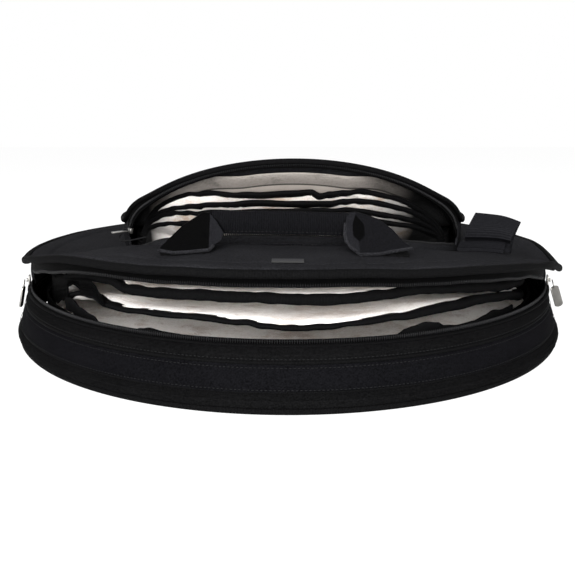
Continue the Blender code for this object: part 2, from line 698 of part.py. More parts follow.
def handle_section(share):
    """Middle of the handle's strap and half its width, at a share of the way from left foot to right.

    From each foot the strap climbs flat, then turns on edge as it narrows into the doubled grip.
    """
    side = 1 if share > 0.5 else -1
    foot_x = HANDLE_RIGHT_X if share > 0.5 else HANDLE_LEFT_X
    grip_x = foot_x - side * HANDLE_GRIP_SPREAD
    near = 1 - abs(2 * share - 1)
    leg = near / HANDLE_LEG_SHARE
    rise = smooth(leg / HANDLE_CLIMB_SHARE)
    turned = smooth((leg - HANDLE_TURN_START_SHARE) / (1 - HANDLE_TURN_START_SHARE))
    x = foot_x + (grip_x - foot_x) * turned
    if leg > 1:
        middle = (HANDLE_LEFT_X + HANDLE_RIGHT_X) / 2
        x = grip_x + (middle - grip_x) * (near - HANDLE_LEG_SHARE) / (1 - HANDLE_LEG_SHARE)
    foot_z = lid_top(foot_x, HANDLE_FOOT_Y) + SEAT_GAP + 2 * WEBBING_THICKNESS
    centre = Vector((x, HANDLE_FOOT_Y + HANDLE_GRIP_SETBACK * rise, foot_z + HANDLE_GRIP_HEIGHT * rise))
    turn = math.radians(90) * turned
    half = (WEBBING_WIDTH * (1 - turned) + HANDLE_GRIP_WIDTH * turned) / 2
    return centre, Vector((side * math.cos(turn), 0, math.sin(turn))) * half


def make_handle(parent):
    """Strap folded over at both feet, with its middle doubled into a grip, and the feet's anchors."""
    for side, x in (("left", HANDLE_LEFT_X), ("right", HANDLE_RIGHT_X)):
        def place(u, v, x=x):
            across = x + WEBBING_WIDTH * (u - 0.5)
            y = HANDLE_FOOT_Y + ANCHOR_LENGTH * v
            return Vector((across, y, lid_top(across, y) + SEAT_GAP + WEBBING_THICKNESS))

        slab("handle_anchor_" + side, 2, PATCH_ROW_SHARES, place, WEBBING_THICKNESS, WEBBING, parent)

    middle = (HANDLE_LEFT_X + HANDLE_RIGHT_X) / 2
    foot_z = lid_top(middle, HANDLE_FOOT_Y) + SEAT_GAP + 2 * WEBBING_THICKNESS
    pivot = add_pivot("handle_fold", (middle, HANDLE_FOOT_Y, foot_z), 0, parent)

    def place_strap(u, v):
        centre, half = handle_section(u)
        return centre + half * (1 - 2 * v)

    strap = skin("handle_strap", HANDLE_COLUMNS, 2, place_strap, HANDLE_THICKNESS, WEBBING, pivot)
    strap.modifiers["cloth"].offset = 0


def make_strap_tab(parent):
    """Webbing tab at the right of the pocket: a sewn patch and the loop that stands up from it."""
    turn = Matrix.Rotation(TAB_TURN, 4, "Z")

    def place_patch(u, v):
        flat = turn @ Vector((WEBBING_WIDTH * (u - 0.5), TAB_PATCH_LENGTH * (v - 0.5), 0))
        x = TAB_X + flat.x
        y = TAB_Y + flat.y
        return Vector((x, y, lid_top(x, y) + TAB_SEAT + WEBBING_THICKNESS))

    slab("strap_tab_patch", 2, PATCH_ROW_SHARES, place_patch, WEBBING_THICKNESS, WEBBING, parent)

    def place_loop(u, v):
        angle = math.pi * v
        back = TAB_PATCH_LENGTH / 2 + TAB_LOOP_LENGTH / 2 * (1 - math.cos(angle)) + WEBBING_THICKNESS + GAP
        flat = turn @ Vector((WEBBING_WIDTH * (u - 0.5), back, 0))
        x = TAB_X + flat.x
        y = TAB_Y + flat.y
        return Vector((x, y, lid_top(x, y) + TAB_SEAT + TAB_LOOP_HEIGHT * math.sin(angle)))

    skin("strap_tab_loop", 2, LOOP_COLUMNS, place_loop, WEBBING_THICKNESS, WEBBING, parent)


def make_label(parent):
    """Small woven label, bare of lettering, sewn in front of the handle."""
    def place(u, v):
        x = LABEL_X + LABEL_WIDTH * (u - 0.5)
        y = LABEL_Y + LABEL_DEPTH * (v - 0.5)
        return Vector((x, y, lid_top(x, y) + SEAT_GAP + LABEL_THICKNESS))

    slab("woven_label", 2, FLAT_ROW_SHARES, place, LABEL_THICKNESS, LABEL_WEAVE, parent)


def make_main_slider(side, angle, teeth_height):
    """Metal slider that runs along the outside of the teeth, and the flat pull that hangs from it."""
    inner_face = MAIN_ZIP_RADIUS - TAPE_THICKNESS / 2 + TEETH_RADIUS + GAP
    away = Vector((math.cos(angle), math.sin(angle), 0))
    middle = Vector((0, MAIN_ZIP_Y, WALL_HEIGHT + SEAT_GAP + SLIDER_HEIGHT / 2))
    middle += away * (inner_face + SLIDER_DEPTH / 2)
    turn = Matrix.Rotation(angle, 4, "Z")
    size = (SLIDER_DEPTH, SLIDER_LENGTH, SLIDER_HEIGHT)
    block("main_slider_" + side, size, Matrix.Translation(middle) @ turn, NICKEL, None, SLIDER_BEVEL)

    reach = inner_face + SLIDER_DEPTH + GAP + PULL_THICKNESS / 2
    bail = Vector((0, MAIN_ZIP_Y, teeth_height)) + away * reach
    name = "main_pull_" + side
    pivot = add_pivot(name + "_hinge", bail)
    lean = Matrix.Translation(bail) @ turn @ Matrix.Rotation(-PULL_LEAN, 4, "Y")
    hang = lean @ Matrix.Translation((0, 0, -PULL_LENGTH / 2))
    block(name, (PULL_THICKNESS, PULL_WIDTH, PULL_LENGTH), hang, NICKEL, pivot, PULL_THICKNESS / 4)


def make_pocket_slider(parent):
    """Small slider at the left end of the pocket's zip, with its pull lying down the wall."""
    angle = math.pi - chord_angle(POCKET_RADIUS, POCKET_Y, FOLD_Y - 2 * FOLD_GAP)
    x = POCKET_X + POCKET_RADIUS * math.cos(angle)
    y = POCKET_Y + POCKET_RADIUS * math.sin(angle)
    size = POCKET_SLIDER_SIZE
    height = lip_height(x, y) - size[2] / 4
    away = Vector((math.cos(angle), math.sin(angle), 0))
    middle = Vector((x, y, height)) + away * (size[0] / 2 + SEAT_GAP)
    frame = Matrix.Translation(middle) @ Matrix.Rotation(angle, 4, "Z")
    block("pocket_slider", size, frame, NICKEL, parent, GAP)
    pull = POCKET_PULL_SIZE
    out = size[0] / 2 + pull[0] / 2 + GAP
    lay = frame @ Matrix.Translation((out, 0, 0)) @ Matrix.Rotation(-POCKET_PULL_LEAN, 4, "Y")
    block("pocket_pull", pull, lay @ Matrix.Translation((0, 0, -pull[2] / 2 - pull[0])), NICKEL, parent, GAP)


clear_scene()
parts = collection("cymbal_bag")

lining = make_base()
teeth_level = make_lower_zip()
make_rear_shell()
main_lid = add_pivot("main_lid_fold", (0, FOLD_Y, FOLD_AXIS_HEIGHT))
make_front_shell(main_lid)
make_folds()
make_main_dividers(lining)
make_pocket_rear()
make_pocket_front(main_lid)
make_pocket_lid(main_lid)
make_pocket_dividers(main_lid)
make_handle(main_lid)
make_strap_tab(main_lid)
make_label(main_lid)
make_main_slider("left", LEFT_SLIDER_ANGLE, teeth_level)
make_main_slider("right", RIGHT_SLIDER_ANGLE, teeth_level)
make_pocket_slider(main_lid)
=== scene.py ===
"""Looks of a round padded cymbal bag, lying flat with its main mouth and its lid pocket unzipped.

Each flexible layer is one run of cloth over its fold. A layer's shape is first laid out flat, as
when the bag is shut, and is then bent up over the fold line, which runs across the bag.
"""
import math

import bmesh
import bpy
from bpy.props import FloatProperty, FloatVectorProperty, PointerProperty
from mathutils import Matrix, Vector, noise


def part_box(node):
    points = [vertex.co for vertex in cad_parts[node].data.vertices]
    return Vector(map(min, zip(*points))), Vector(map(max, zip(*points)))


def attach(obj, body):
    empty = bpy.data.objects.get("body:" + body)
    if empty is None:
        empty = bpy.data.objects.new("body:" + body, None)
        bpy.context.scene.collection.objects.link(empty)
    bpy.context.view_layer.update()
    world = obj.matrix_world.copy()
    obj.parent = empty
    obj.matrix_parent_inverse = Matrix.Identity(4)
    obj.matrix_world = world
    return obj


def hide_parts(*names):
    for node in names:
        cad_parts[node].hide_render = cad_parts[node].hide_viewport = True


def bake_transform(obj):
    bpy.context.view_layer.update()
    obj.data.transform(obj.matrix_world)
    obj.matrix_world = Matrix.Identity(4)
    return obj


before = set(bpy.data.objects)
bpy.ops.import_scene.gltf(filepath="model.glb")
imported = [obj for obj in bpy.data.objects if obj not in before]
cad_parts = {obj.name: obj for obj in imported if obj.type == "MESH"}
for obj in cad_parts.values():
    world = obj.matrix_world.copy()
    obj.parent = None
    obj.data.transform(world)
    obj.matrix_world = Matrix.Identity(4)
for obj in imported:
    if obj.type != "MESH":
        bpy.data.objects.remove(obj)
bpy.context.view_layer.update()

bl_info = {
    "name": "Cymbal bag",
    "version": (1, 0, 0),
    "blender": (4, 5, 0),
    "location": "3D View > Sidebar > Bag",
    "description": "Builds a padded cymbal bag with fleece dividers, zips, pocket and webbing handle",
    "category": "Object",
}

# Base and wall
WALL_FOOT = 0.0073
LOWER_SEAM = 0.0175
UPPER_SEAM = 0.0400
WALL_TOP = 0.0510
FOOT_CORD_RADIUS = 0.2995
# Reach of each edge of the wall at the right, what the left adds to it and what the front takes off
FOOT_REACH = (0.3042, 0.0, 0.0)
LOWER_SEAM_REACH = (0.2995, 0.0020, 0.0020)
UPPER_SEAM_REACH = (0.2925, 0.0017, 0.0025)
WALL_TOP_REACH = (0.2915, 0.0, 0.0080)
BASE_RADIUS = 0.2957
BASE_TOP = 0.0100
BASE_THICKNESS = 0.0098
FLOOR_FLEECE_RADIUS = 0.2690
FLOOR_FLEECE_TOP = 0.0143
LINING_FOOT = 0.0104
LINING_INNER_RADIUS = 0.2712
FACING_FOOT = 0.0300
BAND_SWELL = 0.0020
RING_COLUMNS = 320
FACING_EDGE_RADIUS = 0.2665
CORNER_CLOTH_RADIUS = 0.2672
# Bearing, top and foot of the black cloth gathered in the left corner of the mouth
CORNER_CLOTH = (
    (-160.4, 0.0653, 0.0330), (-151.8, 0.0738, 0.0464), (-146.1, 0.0778, 0.0551),
    (-142.7, 0.0802, 0.0605), (-141.6, 0.0807, 0.0736), (-139.2, 0.0822, 0.0771),
    (-137.0, 0.0838, 0.0755), (-136.2, 0.0843, 0.0708), (-133.8, 0.0859, 0.0718),
    (-131.7, 0.0863, 0.0730), (-130.7, 0.0833, 0.0719), (-129.5, 0.0776, 0.0673),
    (-128.1, 0.0703, 0.0646)
)
# Height of the facing's wavy bound edge at each side of the mouth, by bearing in degrees
RIGHT_FACING_EDGE = (
    (-69.7, 0.0526), (-68.3, 0.0559), (-66.8, 0.0573), (-64.2, 0.0594), (-61.0, 0.0574),
    (-59.4, 0.0536), (-55.8, 0.0515), (-51.1, 0.0518), (-47.8, 0.0538), (-44.9, 0.0560),
    (-40.4, 0.0529), (-34.8, 0.0524)
)
FACING_EDGE = (
    (-144.2, 0.0614), (-140.7, 0.0626), (-137.2, 0.0571), (-132.2, 0.0538), (-130.0, 0.0486),
    (-126.9, 0.0489), (-123.7, 0.0498), (-120.6, 0.0500), (-118.4, 0.0524), (-116.5, 0.0540),
    (-113.6, 0.0526), (-110.5, 0.0521), (-107.7, 0.0503)
)

# Main lid and the fold line that it opens on
FOLD_Y = -0.050
LID_RADIUS = 0.289
LID_RIGHT_REACH = 0.0075
LID_LEVEL = 0.081
LID_RISE = 0.037
LID_LEAN = 0.0045
LID_THICKNESS = 0.006
LID_LINING_RADIUS = 0.2700
RISE_START_Y = 0.010
RISE_RUN = 0.220
RISE_SIDE_SETBACK = 0.070
LID_CROWN = 0.0085
FOLD_PIVOT_Z = 0.0965
PIPING_RADIUS = 0.0034
TOPSTITCH_INSET = 0.0230

# Main zip
ZIP_CENTRE = (0, 0.0119)
LOWER_ZIP_RADIUS = 0.2919
UPPER_ZIP_RADIUS = 0.2884
GUSSET_RADIUS = 0.2894
SLIDER_BEARING = 15.0
SLIDER_MIDDLE = 0.0570
MAIN_TOOTH = (0.0010, 0.0026, 0.0042)
PULL_HINGE_RADIUS = 0.29994
PULL_TILTS = {"left": math.radians(12), "right": math.radians(19)}
PULL_SWIVELS = {"left": math.radians(-12), "right": math.radians(-58)}
LOWER_TEETH_LEVEL = 0.0546
SLIDER_LEVEL = 0.0564
SKIRT_DROP = 0.0082
ZIP_START_Y = -0.058

# Main dividers: level of the fold, lift of the front half, thickness
UPPER_DIVIDER = (0.060, math.radians(7.8))
LOWER_DIVIDER = (0.040, math.radians(6.0))
DIVIDER_THICKNESS = 0.005
DIVIDER_RADIUS = 0.2650
FOLD_SOFTNESS = 0.018

# Pocket on the lid
POCKET_CENTRE = (0.005, 0.035)
POCKET_RADIUS = 0.200
POCKET_LEVEL = 0.120
POCKET_LIFT = math.radians(37.3)
POCKET_WALL_DEPTH = 0.026
POCKET_LINING_INSET = 0.0095
POCKET_PANEL = 0.005
POCKET_WALL = 0.0024
POCKET_LIP_HEIGHT = 0.0070
POCKET_BAND_FRONT = 0.0078
POCKET_BAND_GROWTH = 0.0120
POCKET_PINCH = 0.006
POCKET_CORNER_LIFT = 0.0075
LIP_END = ((-0.1714, -0.0500, 0.1106), (-0.1760, -0.0540, 0.1107), (-0.1802, -0.0600, 0.1096),
           (-0.1827, -0.0640, 0.1062), (-0.1832, -0.0670, 0.1034), (-0.1794, -0.0700, 0.1014),
           (-0.1720, -0.0740, 0.1020), (-0.1620, -0.0800, 0.1047), (-0.1492, -0.0900, 0.1087))
POCKET_SOFTNESS = 0.032
POCKET_DIVIDER_THICKNESS = 0.0026
POCKET_DIVIDER_RADIUS = 0.1880
# Where painted shade darkens the fleece in the pocket to near black, from its middle out to its corners
POCKET_SHADE_LEFT = 0.150
POCKET_FADE_LEFT = 0.028
POCKET_SHADE_RIGHT = 0.130
POCKET_FADE_RIGHT = 0.070
# Radius of the brown line of painted shade across the pocket's lining
POCKET_CREASE_SHADE_RADIUS = 0.1735

# Carrying handle and strap tab
WEBBING_WIDTH = 0.047
WEBBING_THICKNESS = 0.0022
HANDLE_FOOT_Y = -0.219
HANDLE_FEET_X = (-0.0935, 0.0800)
HANDLE_GRIP_HEIGHT = 0.018
HANDLE_GRIP_SETBACK = 0.016
HANDLE_GRIP_WIDTH = 0.020
HANDLE_GRIP_SPREAD = 0.027
HANDLE_LEG = 0.45
ANCHOR_WIDTH = 0.040
ANCHOR_LENGTH = 0.046
TAB_PLACE = (0.2095, -0.0945)
TAB_LENGTH = 0.024
TAB_HEIGHT = 0.0385
TAB_TURN = math.radians(-24)
TAB_BELLY = 0.0075
LABEL_PLACE = (-0.0006, -0.260)
LABEL_SIZE = (0.026, 0.009)

# Camera: its focal length and the picture's side in pixels, and its sensor in mm.
# Lamps: name, place, size and power
CAMERA_PLACE = (0, -0.8157, 0.2252)
CAMERA_TILT = 0.2319
CAMERA_FOCUS = 700
PICTURE_SIDE = 575
SENSOR_WIDTH = 36
LAMPS = (("key_light", (-0.3, -1.8, 1.05), 1.4, 95),
         ("top_light", (0.2, 0.3, 1.8), 2.2, 14),
         ("front_light", (0.1, -2.1, 0.26), 1.4, 70))
FLOOR_SIDE = 6
FLOOR_GLOW = 1.08
STUDIO_LIGHT = 0.40

# Legs of the handle: outline of the folded webbing from its foot's outer corner, corners of the tuck
# in its middle, and the flaps between them by number of corner
LEG_FOOT_Y = -0.236
LEG_THICKNESS = 0.0060
LEG_TUCK = 0.0045
LEG_HEM_CORNERS = {"left": 5, "right": 8}
# The left leg is drawn in a darker copy of the webbing: painted shade
LEG_LOOKS = {"left": "bag_fold", "right": "bag_webbing"}
LEFT_LEG = ([
    (-0.1105, -0.2338, 0.1207), (-0.0971, -0.2360, 0.1187), (-0.0829, -0.2352, 0.1194),
    (-0.0671, -0.2336, 0.1209), (-0.0631, -0.2299, 0.1243), (-0.0575, -0.2255, 0.1283),
    (-0.0558, -0.2200, 0.1335), (-0.0620, -0.2116, 0.1416), (-0.0689, -0.2046, 0.1485),
    (-0.0748, -0.2041, 0.1489), (-0.0920, -0.2149, 0.1384), (-0.1000, -0.2226, 0.1311),
], [
    (-0.0685, -0.2061, 0.1469), (-0.0749, -0.2173, 0.1361), (-0.0679, -0.2242, 0.1296),
], ((0, 1, 2, 3, 14, 13, 12, 8, 9, 10, 11), (12, 14, 3, 4, 5, 6, 7, 8)))
RIGHT_LEG = ([
    (0.1055, -0.2308, 0.1219), (0.0914, -0.2329, 0.1200), (0.0762, -0.2355, 0.1176),
    (0.0602, -0.2360, 0.1172), (0.0530, -0.2300, 0.1226), (0.0491, -0.2250, 0.1273),
    (0.0483, -0.2200, 0.1319), (0.0495, -0.2112, 0.1404), (0.0511, -0.2035, 0.1480),
    (0.0592, -0.2027, 0.1488), (0.0687, -0.2051, 0.1464), (0.0797, -0.2090, 0.1426),
    (0.0901, -0.2165, 0.1353), (0.0982, -0.2261, 0.1262),
], [
    (0.0585, -0.2045, 0.1470), (0.0651, -0.2120, 0.1397), (0.0652, -0.2206, 0.1314),
    (0.0602, -0.2252, 0.1271), (0.0555, -0.2206, 0.1314), (0.0555, -0.2120, 0.1397),
], ((9, 10, 11, 12, 13, 0, 1, 2, 3, 17, 16, 15, 14), (9, 14, 19, 18, 17, 3, 4, 5, 6, 7, 8)))

# How far the lid's rim droops, by bearing in degrees
LID_DROOP = ((-180, 0), (-162, 0), (-150, 0.0030), (-140, 0.0072), (-130, 0.0072), (-122, 0.0064),
             (-115, 0.0060), (-105, 0.0042), (-90, 0.0028), (-80, 0.0022), (-68, 0.0046), (-60, 0.0062),
             (-50, 0.0085), (-42, 0.0070), (-34, 0.0020), (-25, 0), (0, 0))

# Heights that the dividers' front edges stand above a plain lift, by bearing in degrees
UPPER_EDGE_WAVES = ((-180, 0), (-150, 0.004), (-135, 0.0115), (-127.6, 0.0100), (-122, 0.002),
                    (-114, 0.0003), (-107, -0.0006), (-97.6, -0.0017), (-89.7, -0.0021),
                    (-81, -0.0023), (-73.5, 0), (-65.4, 0.0037), (-55.7, 0.0028), (-41.9, 0), (0, 0))
LOWER_EDGE_WAVES = ((-180, 0), (-150, 0.006), (-137, 0.0160), (-133, 0.0150), (-128.7, 0.0092),
                    (-121.7, 0.0067), (-114.5, 0.0049), (-107, 0.0053), (-97.8, 0.0021),
                    (-94.7, -0.0005), (-89.7, -0.0021), (-82.6, -0.0008), (-77, 0.0015),
                    (-69, 0.0051), (-57.6, 0.0100), (-48.7, 0.0118), (-37.9, 0.0105), (-20, 0.003), (0, 0))
HIGHEST_EDGE_WAVES = ((-153, 0.006), (-148, 0.013), (-143.8, 0.0155), (-140.5, 0.0177), (-135.7, 0.0184),
                      (-130.6, 0.0181), (-126, 0.0167), (-119.9, 0.0119), (-106.2, 0.0022), (-98.5, 0),
                      (-91, 0.0002), (-84.6, 0.0018), (-82.2, -0.0018), (-79.2, 0.0007), (-74.6, 0.0035),
                      (-68, 0.0085), (-60.9, 0.0096), (-54.9, 0.0105), (-49.5, 0.0102), (-44.3, 0.009),
                      (-38.3, 0.0057), (-27, 0.002))
HIGH_EDGE_WAVES = ((-153, 0.008), (-148.1, 0.0199), (-144, 0.0207), (-138.5, 0.0191), (-132.9, 0.016),
                   (-125.9, 0.0114), (-119.8, 0.0078), (-106.1, 0.0018), (-91.1, -0.001), (-79.2, 0.0003),
                   (-74.6, 0.0042), (-69.7, 0.007), (-62.8, 0.0093), (-57, 0.01), (-50.5, 0.0108),
                   (-45.5, 0.0102), (-39.5, 0.0086), (-27, 0.002))
LOW_EDGE_WAVES = ((-153, 0.008), (-149.9, 0.02), (-144, 0.0216), (-138.6, 0.0218), (-132, 0.0183),
                  (-125.9, 0.0133), (-119.8, 0.0072), (-106.1, 0.0004), (-91.1, -0.0018), (-79.2, 0.0005),
                  (-73, 0.0038), (-66.4, 0.0044), (-59.1, 0.0052), (-52.8, 0.0072), (-45.5, 0.0089),
                  (-39.5, 0.0083), (-27, 0.002))
LOWEST_EDGE_WAVES = ((-153, 0.010), (-149.9, 0.0216), (-141.7, 0.0193), (-135.5, 0.0163), (-128, 0.0114),
                     (-119.8, 0.0063), (-106.1, 0.0011), (-91.1, -0.0004), (-76.2, 0.0011), (-62.8, 0.0062),
                     (-57.1, 0.0067), (-50.5, 0.008), (-42.6, 0.0089), (-35.8, 0.0094), (-27, 0.003))
# Name, level, lift, waves and how much of the waves shows
POCKET_DIVIDERS = (("lowest", 0.0925, math.radians(24.5), LOWEST_EDGE_WAVES, 0.80),
                   ("lower", 0.0965, math.radians(28), LOW_EDGE_WAVES, 0.80),
                   ("upper", 0.1005, math.radians(30.2), HIGH_EDGE_WAVES, 0.85),
                   ("highest", 0.1045, math.radians(33), HIGHEST_EDGE_WAVES, 1.0))


class BagSizes(bpy.types.PropertyGroup):
    """Sizes of the cloth, fleece and hardware that someone may want to change."""

    fleece_depth: FloatProperty(name="Fleece depth", description="How far tufts stand out of the fleece",
                                default=0.0009, min=0, unit="LENGTH")
    binding_depth: FloatProperty(name="Binding depth", description="How far binding wraps onto a divider",
                                 default=0.0095, min=0.002, unit="LENGTH")
    binding_height: FloatProperty(name="Binding height", description="Height of a bound divider edge",
                                  default=0.0078, min=0.002, unit="LENGTH")
    zip_pitch: FloatProperty(name="Zip pitch", description="Distance from one zip tooth to the next",
                             default=0.0020, min=0.0005, unit="LENGTH")
    stitch_length: FloatProperty(name="Stitch length", description="Length of one stitch", default=0.0026,
                                 min=0.0005, unit="LENGTH")
    stitch_width: FloatProperty(name="Thread width", description="Thickness of the sewing thread",
                                default=0.0007, min=0.0001, unit="LENGTH")
    cloth_pucker: FloatProperty(name="Pucker", description="How far cloth gathers beside its seams",
                                default=0.0006, min=0, unit="LENGTH")
    pull_length: FloatProperty(name="Pull length", description="Length of a main zip pull", default=0.0300,
                               min=0.005, unit="LENGTH")


class BagColours(bpy.types.PropertyGroup):
    """Colours of the bag's cloths, fleece and metal."""

    cloth: FloatVectorProperty(name="Cloth", description="Outer woven nylon", subtype="COLOR", size=3,
                               default=(0.0090, 0.0090, 0.0100))
    wall_cloth: FloatVectorProperty(name="Wall cloth", description="Middle band of the wall",
                                    subtype="COLOR", size=3, default=(0.0021, 0.0021, 0.0025))
    # Darker copy of the lid's cloth for the wall's lower and upper bands: painted shade
    band_cloth: FloatVectorProperty(name="Band cloth", description="Lower and upper band of the wall",
                                    subtype="COLOR", size=3, default=(0.0021, 0.0021, 0.0022))
    # Also the near-black of the painted shade in the pocket's corners, and, darkened, on the handle's left
    # leg and tucks
    tape: FloatVectorProperty(name="Tape", description="Binding, piping and zip tape", subtype="COLOR",
                              size=3, default=(0.0020, 0.0020, 0.0021))
    webbing: FloatVectorProperty(name="Webbing", description="Handle and strap tab", subtype="COLOR",
                                 size=3, default=(0.0024, 0.0024, 0.0028))
    fleece: FloatVectorProperty(name="Fleece", description="Pile of the lining and dividers",
                                subtype="COLOR", size=3, default=(0.92, 0.885, 0.85))
    # Colour of the darker patches in the pile, and of the painted shade deep in the main mouth
    fleece_shade: FloatVectorProperty(name="Fleece shade", description="Darker patches low in the pile",
                                      subtype="COLOR", size=3, default=(0.42, 0.31, 0.23))
    # Grey-brown copy of the fleece for the pocket's lining: painted shade
    pocket_lining: FloatVectorProperty(name="Pocket lining", description="Pile under the pocket's top",
                                       subtype="COLOR", size=3, default=(0.18, 0.163, 0.148))
    metal: FloatVectorProperty(name="Metal", description="Nickel of the sliders and pulls", subtype="COLOR",
                               size=3, default=(0.17, 0.165, 0.155))
    label: FloatVectorProperty(name="Label", description="Plain woven label", subtype="COLOR", size=3,
                               default=(0.020, 0.020, 0.020))


# Shader maths


class Wire:
    """A shader output that takes part in Python arithmetic; each operator adds one Math node."""

    def __init__(self, look, socket):
        self.look = look
        self.socket = socket

    def __add__(self, other):
        return self.look.maths("ADD", self, other)

    def __sub__(self, other):
        return self.look.maths("SUBTRACT", self, other)

    def __rsub__(self, other):
        return self.look.maths("SUBTRACT", other, self)

    def __mul__(self, other):
        return self.look.maths("MULTIPLY", self, other)

    def __truediv__(self, other):
        return self.look.maths("DIVIDE", self, other)


class Look:
    """A material that is put together from nodes."""

    def __init__(self, name):
        self.material = bpy.data.materials.new(name)
        self.material.use_nodes = True
        self.tree = self.material.node_tree
        self.shader = self.tree.nodes["Principled BSDF"]

    def node(self, kind, settings, *values, output=0, **named):
        made = self.tree.nodes.new(kind)
        for key, setting in settings.items():
            if key == "stops":
                for element, (position, colour) in zip(made.color_ramp.elements, setting):
                    element.position = position
                    element.color = colour
            else:
                setattr(made, key, setting)
        for place, value in [*enumerate(values), *named.items()]:
            self.feed(made.inputs[place], value)
        return Wire(self, made.outputs[output])

    def feed(self, socket, value):
        if isinstance(value, Wire):
            self.tree.links.new(value.socket, socket)
        else:
            socket.default_value = value

    def set(self, name, value):
        self.feed(self.shader.inputs[name], value)

    def maths(self, operation, *values):
        return self.node("ShaderNodeMath", {"operation": operation}, *values)

    def clamp(self, value):
        return self.node("ShaderNodeClamp", {}, value)

    def flat_place(self):
        """The cloth's own flat layout, in metres, as (along, across)."""
        across = self.node("ShaderNodeUVMap", {"uv_map": "Flat"})
        parts = self.tree.nodes.new("ShaderNodeSeparateXYZ")
        self.feed(parts.inputs[0], across)
        return Wire(self, parts.outputs[0]), Wire(self, parts.outputs[1])

    def object_place(self):
        coordinates = self.tree.nodes.new("ShaderNodeTexCoord")
        return Wire(self, coordinates.outputs["Object"])

    def cloud(self, scale, detail=2.0, roughness=0.5):
        return self.node("ShaderNodeTexNoise", {}, Vector=self.object_place(), Scale=scale, Detail=detail,
                         Roughness=roughness)

    def wave(self, place, pitch):
        """A wave from 0 to 1 that repeats every pitch metres."""
        return self.maths("SINE", place * (2 * math.pi / pitch)) * 0.5 + 0.5

    def blend_colours(self, share, first, second):
        mix = self.tree.nodes.new("ShaderNodeMix")
        mix.data_type = "RGBA"
        self.feed(mix.inputs["Factor"], share)
        self.feed(mix.inputs[6], first)
        self.feed(mix.inputs[7], second)
        return Wire(self, mix.outputs[2])

    def bump(self, height, distance):
        self.set("Normal", self.node("ShaderNodeBump", {}, Strength=1.0, Distance=distance, Height=height))

    def paint(self, share, first, second, roughness, specular):
        """Colour blended from first to second, with its roughness and its specular level."""
        self.set("Base Color", self.blend_colours(share, first, second))
        self.set("Roughness", roughness)
        self.set("Specular IOR Level", specular)


def opaque(colour, level=1.0):
    return (colour[0] * level, colour[1] * level, colour[2] * level, 1)


def woven_cloth(look, colour, roughness):
    """Plain woven nylon with a small even weave and a faint grain of lighter threads."""
    pitch, relief = 0.0011, 0.00022
    along, across = look.flat_place()
    over = look.wave(along, pitch) * look.wave(across, pitch)
    under = look.wave(along + pitch / 2, pitch) * look.wave(across + pitch / 2, pitch)
    weave = over + under
    grain = look.cloud(900, 3)
    patches = look.cloud(14, 3)
    held = look.clamp(weave * 0.25 + grain * 2.6 + patches * 0.5 - 1.15)
    look.paint(held, opaque(colour, 0.30), opaque(colour, 1.75), grain * 0.16 + (roughness - 0.08), 0.005)
    look.bump(weave + grain * 0.7, relief)


def ribbed_tape(look, colour, level=1.0, pitch=0.0012, relief=0.00025, across_way=False, roughness=0.62):
    """Tape with fine ribs, which run across it or along it."""
    along, across = look.flat_place()
    ribs = look.wave(across if across_way else along, pitch)
    grain = look.cloud(1100, 2)
    held = look.clamp(ribs * 0.45 + grain * 1.9 - 0.65)
    look.paint(held, opaque(colour, 0.4 * level), opaque(colour, 1.8 * level),
               grain * 0.15 + (roughness - 0.07), 0.008)
    look.bump(ribs + grain * 0.5, relief)


def brushed_pile(look, bright, shade):
    """Brushed pile: soft tufts, with darker streaks in random patches."""
    patches = look.cloud(26, 5, 0.66)
    tufts = look.cloud(420, 4, 0.6)
    fibres = look.cloud(1500, 3, 0.6)
    darker_patches = look.node("ShaderNodeValToRGB", {"stops": ((0.50, (0, 0, 0, 1)), (0.64, (1, 1, 1, 1)))},
                          patches)
    held = look.clamp(darker_patches * 0.75 + (0.53 - tufts) * 1.5)
    look.set("Roughness", 0.95)
    look.set("Specular IOR Level", 0.10)
    look.bump(tufts + fibres * 0.6, 0.0014)
    return look.blend_colours(held, bright, shade)


def fleece_look(look):
    """Pile of the main compartment, darkened with painted shade in streaks where it lies deeper in the
    mouth.
    """
    along, across = look.flat_place()
    # Painted shade: deeper into the mouth, the pile is blended in streaks towards the shade colour
    deep = look.clamp((0.250 - look.maths("SQRT", along * along + across * across)) / 0.030)
    painted_shade_streaks = look.clamp((look.cloud(17, 6, 0.7) - 0.50) * 7.0)
    shade = opaque(colours().fleece_shade)
    pile = brushed_pile(look, opaque(colours().fleece), shade)
    look.set("Base Color", look.blend_colours(deep * (painted_shade_streaks * 0.62 + 0.05), pile, shade))
    look.set("Sheen Weight", 0.8)
    look.set("Sheen Roughness", 0.5)


def set_pocket_pile(look, along, pile):
    """Pile in the pocket's middle, darkened to near black by painted shade towards its corners."""
    left = look.clamp((along + POCKET_SHADE_LEFT) / POCKET_FADE_LEFT)
    right = look.clamp((POCKET_SHADE_RIGHT - along) / POCKET_FADE_RIGHT)
    # Painted shade: the tape's near-black colour stands in for shade in the pocket's corners
    look.set("Base Color", look.blend_colours(left * right, opaque(colours().tape), pile))


def pocket_fleece_look(look):
    pile = brushed_pile(look, opaque(colours().fleece), opaque(colours().fleece_shade, 1.6))
    set_pocket_pile(look, look.flat_place()[0], pile)


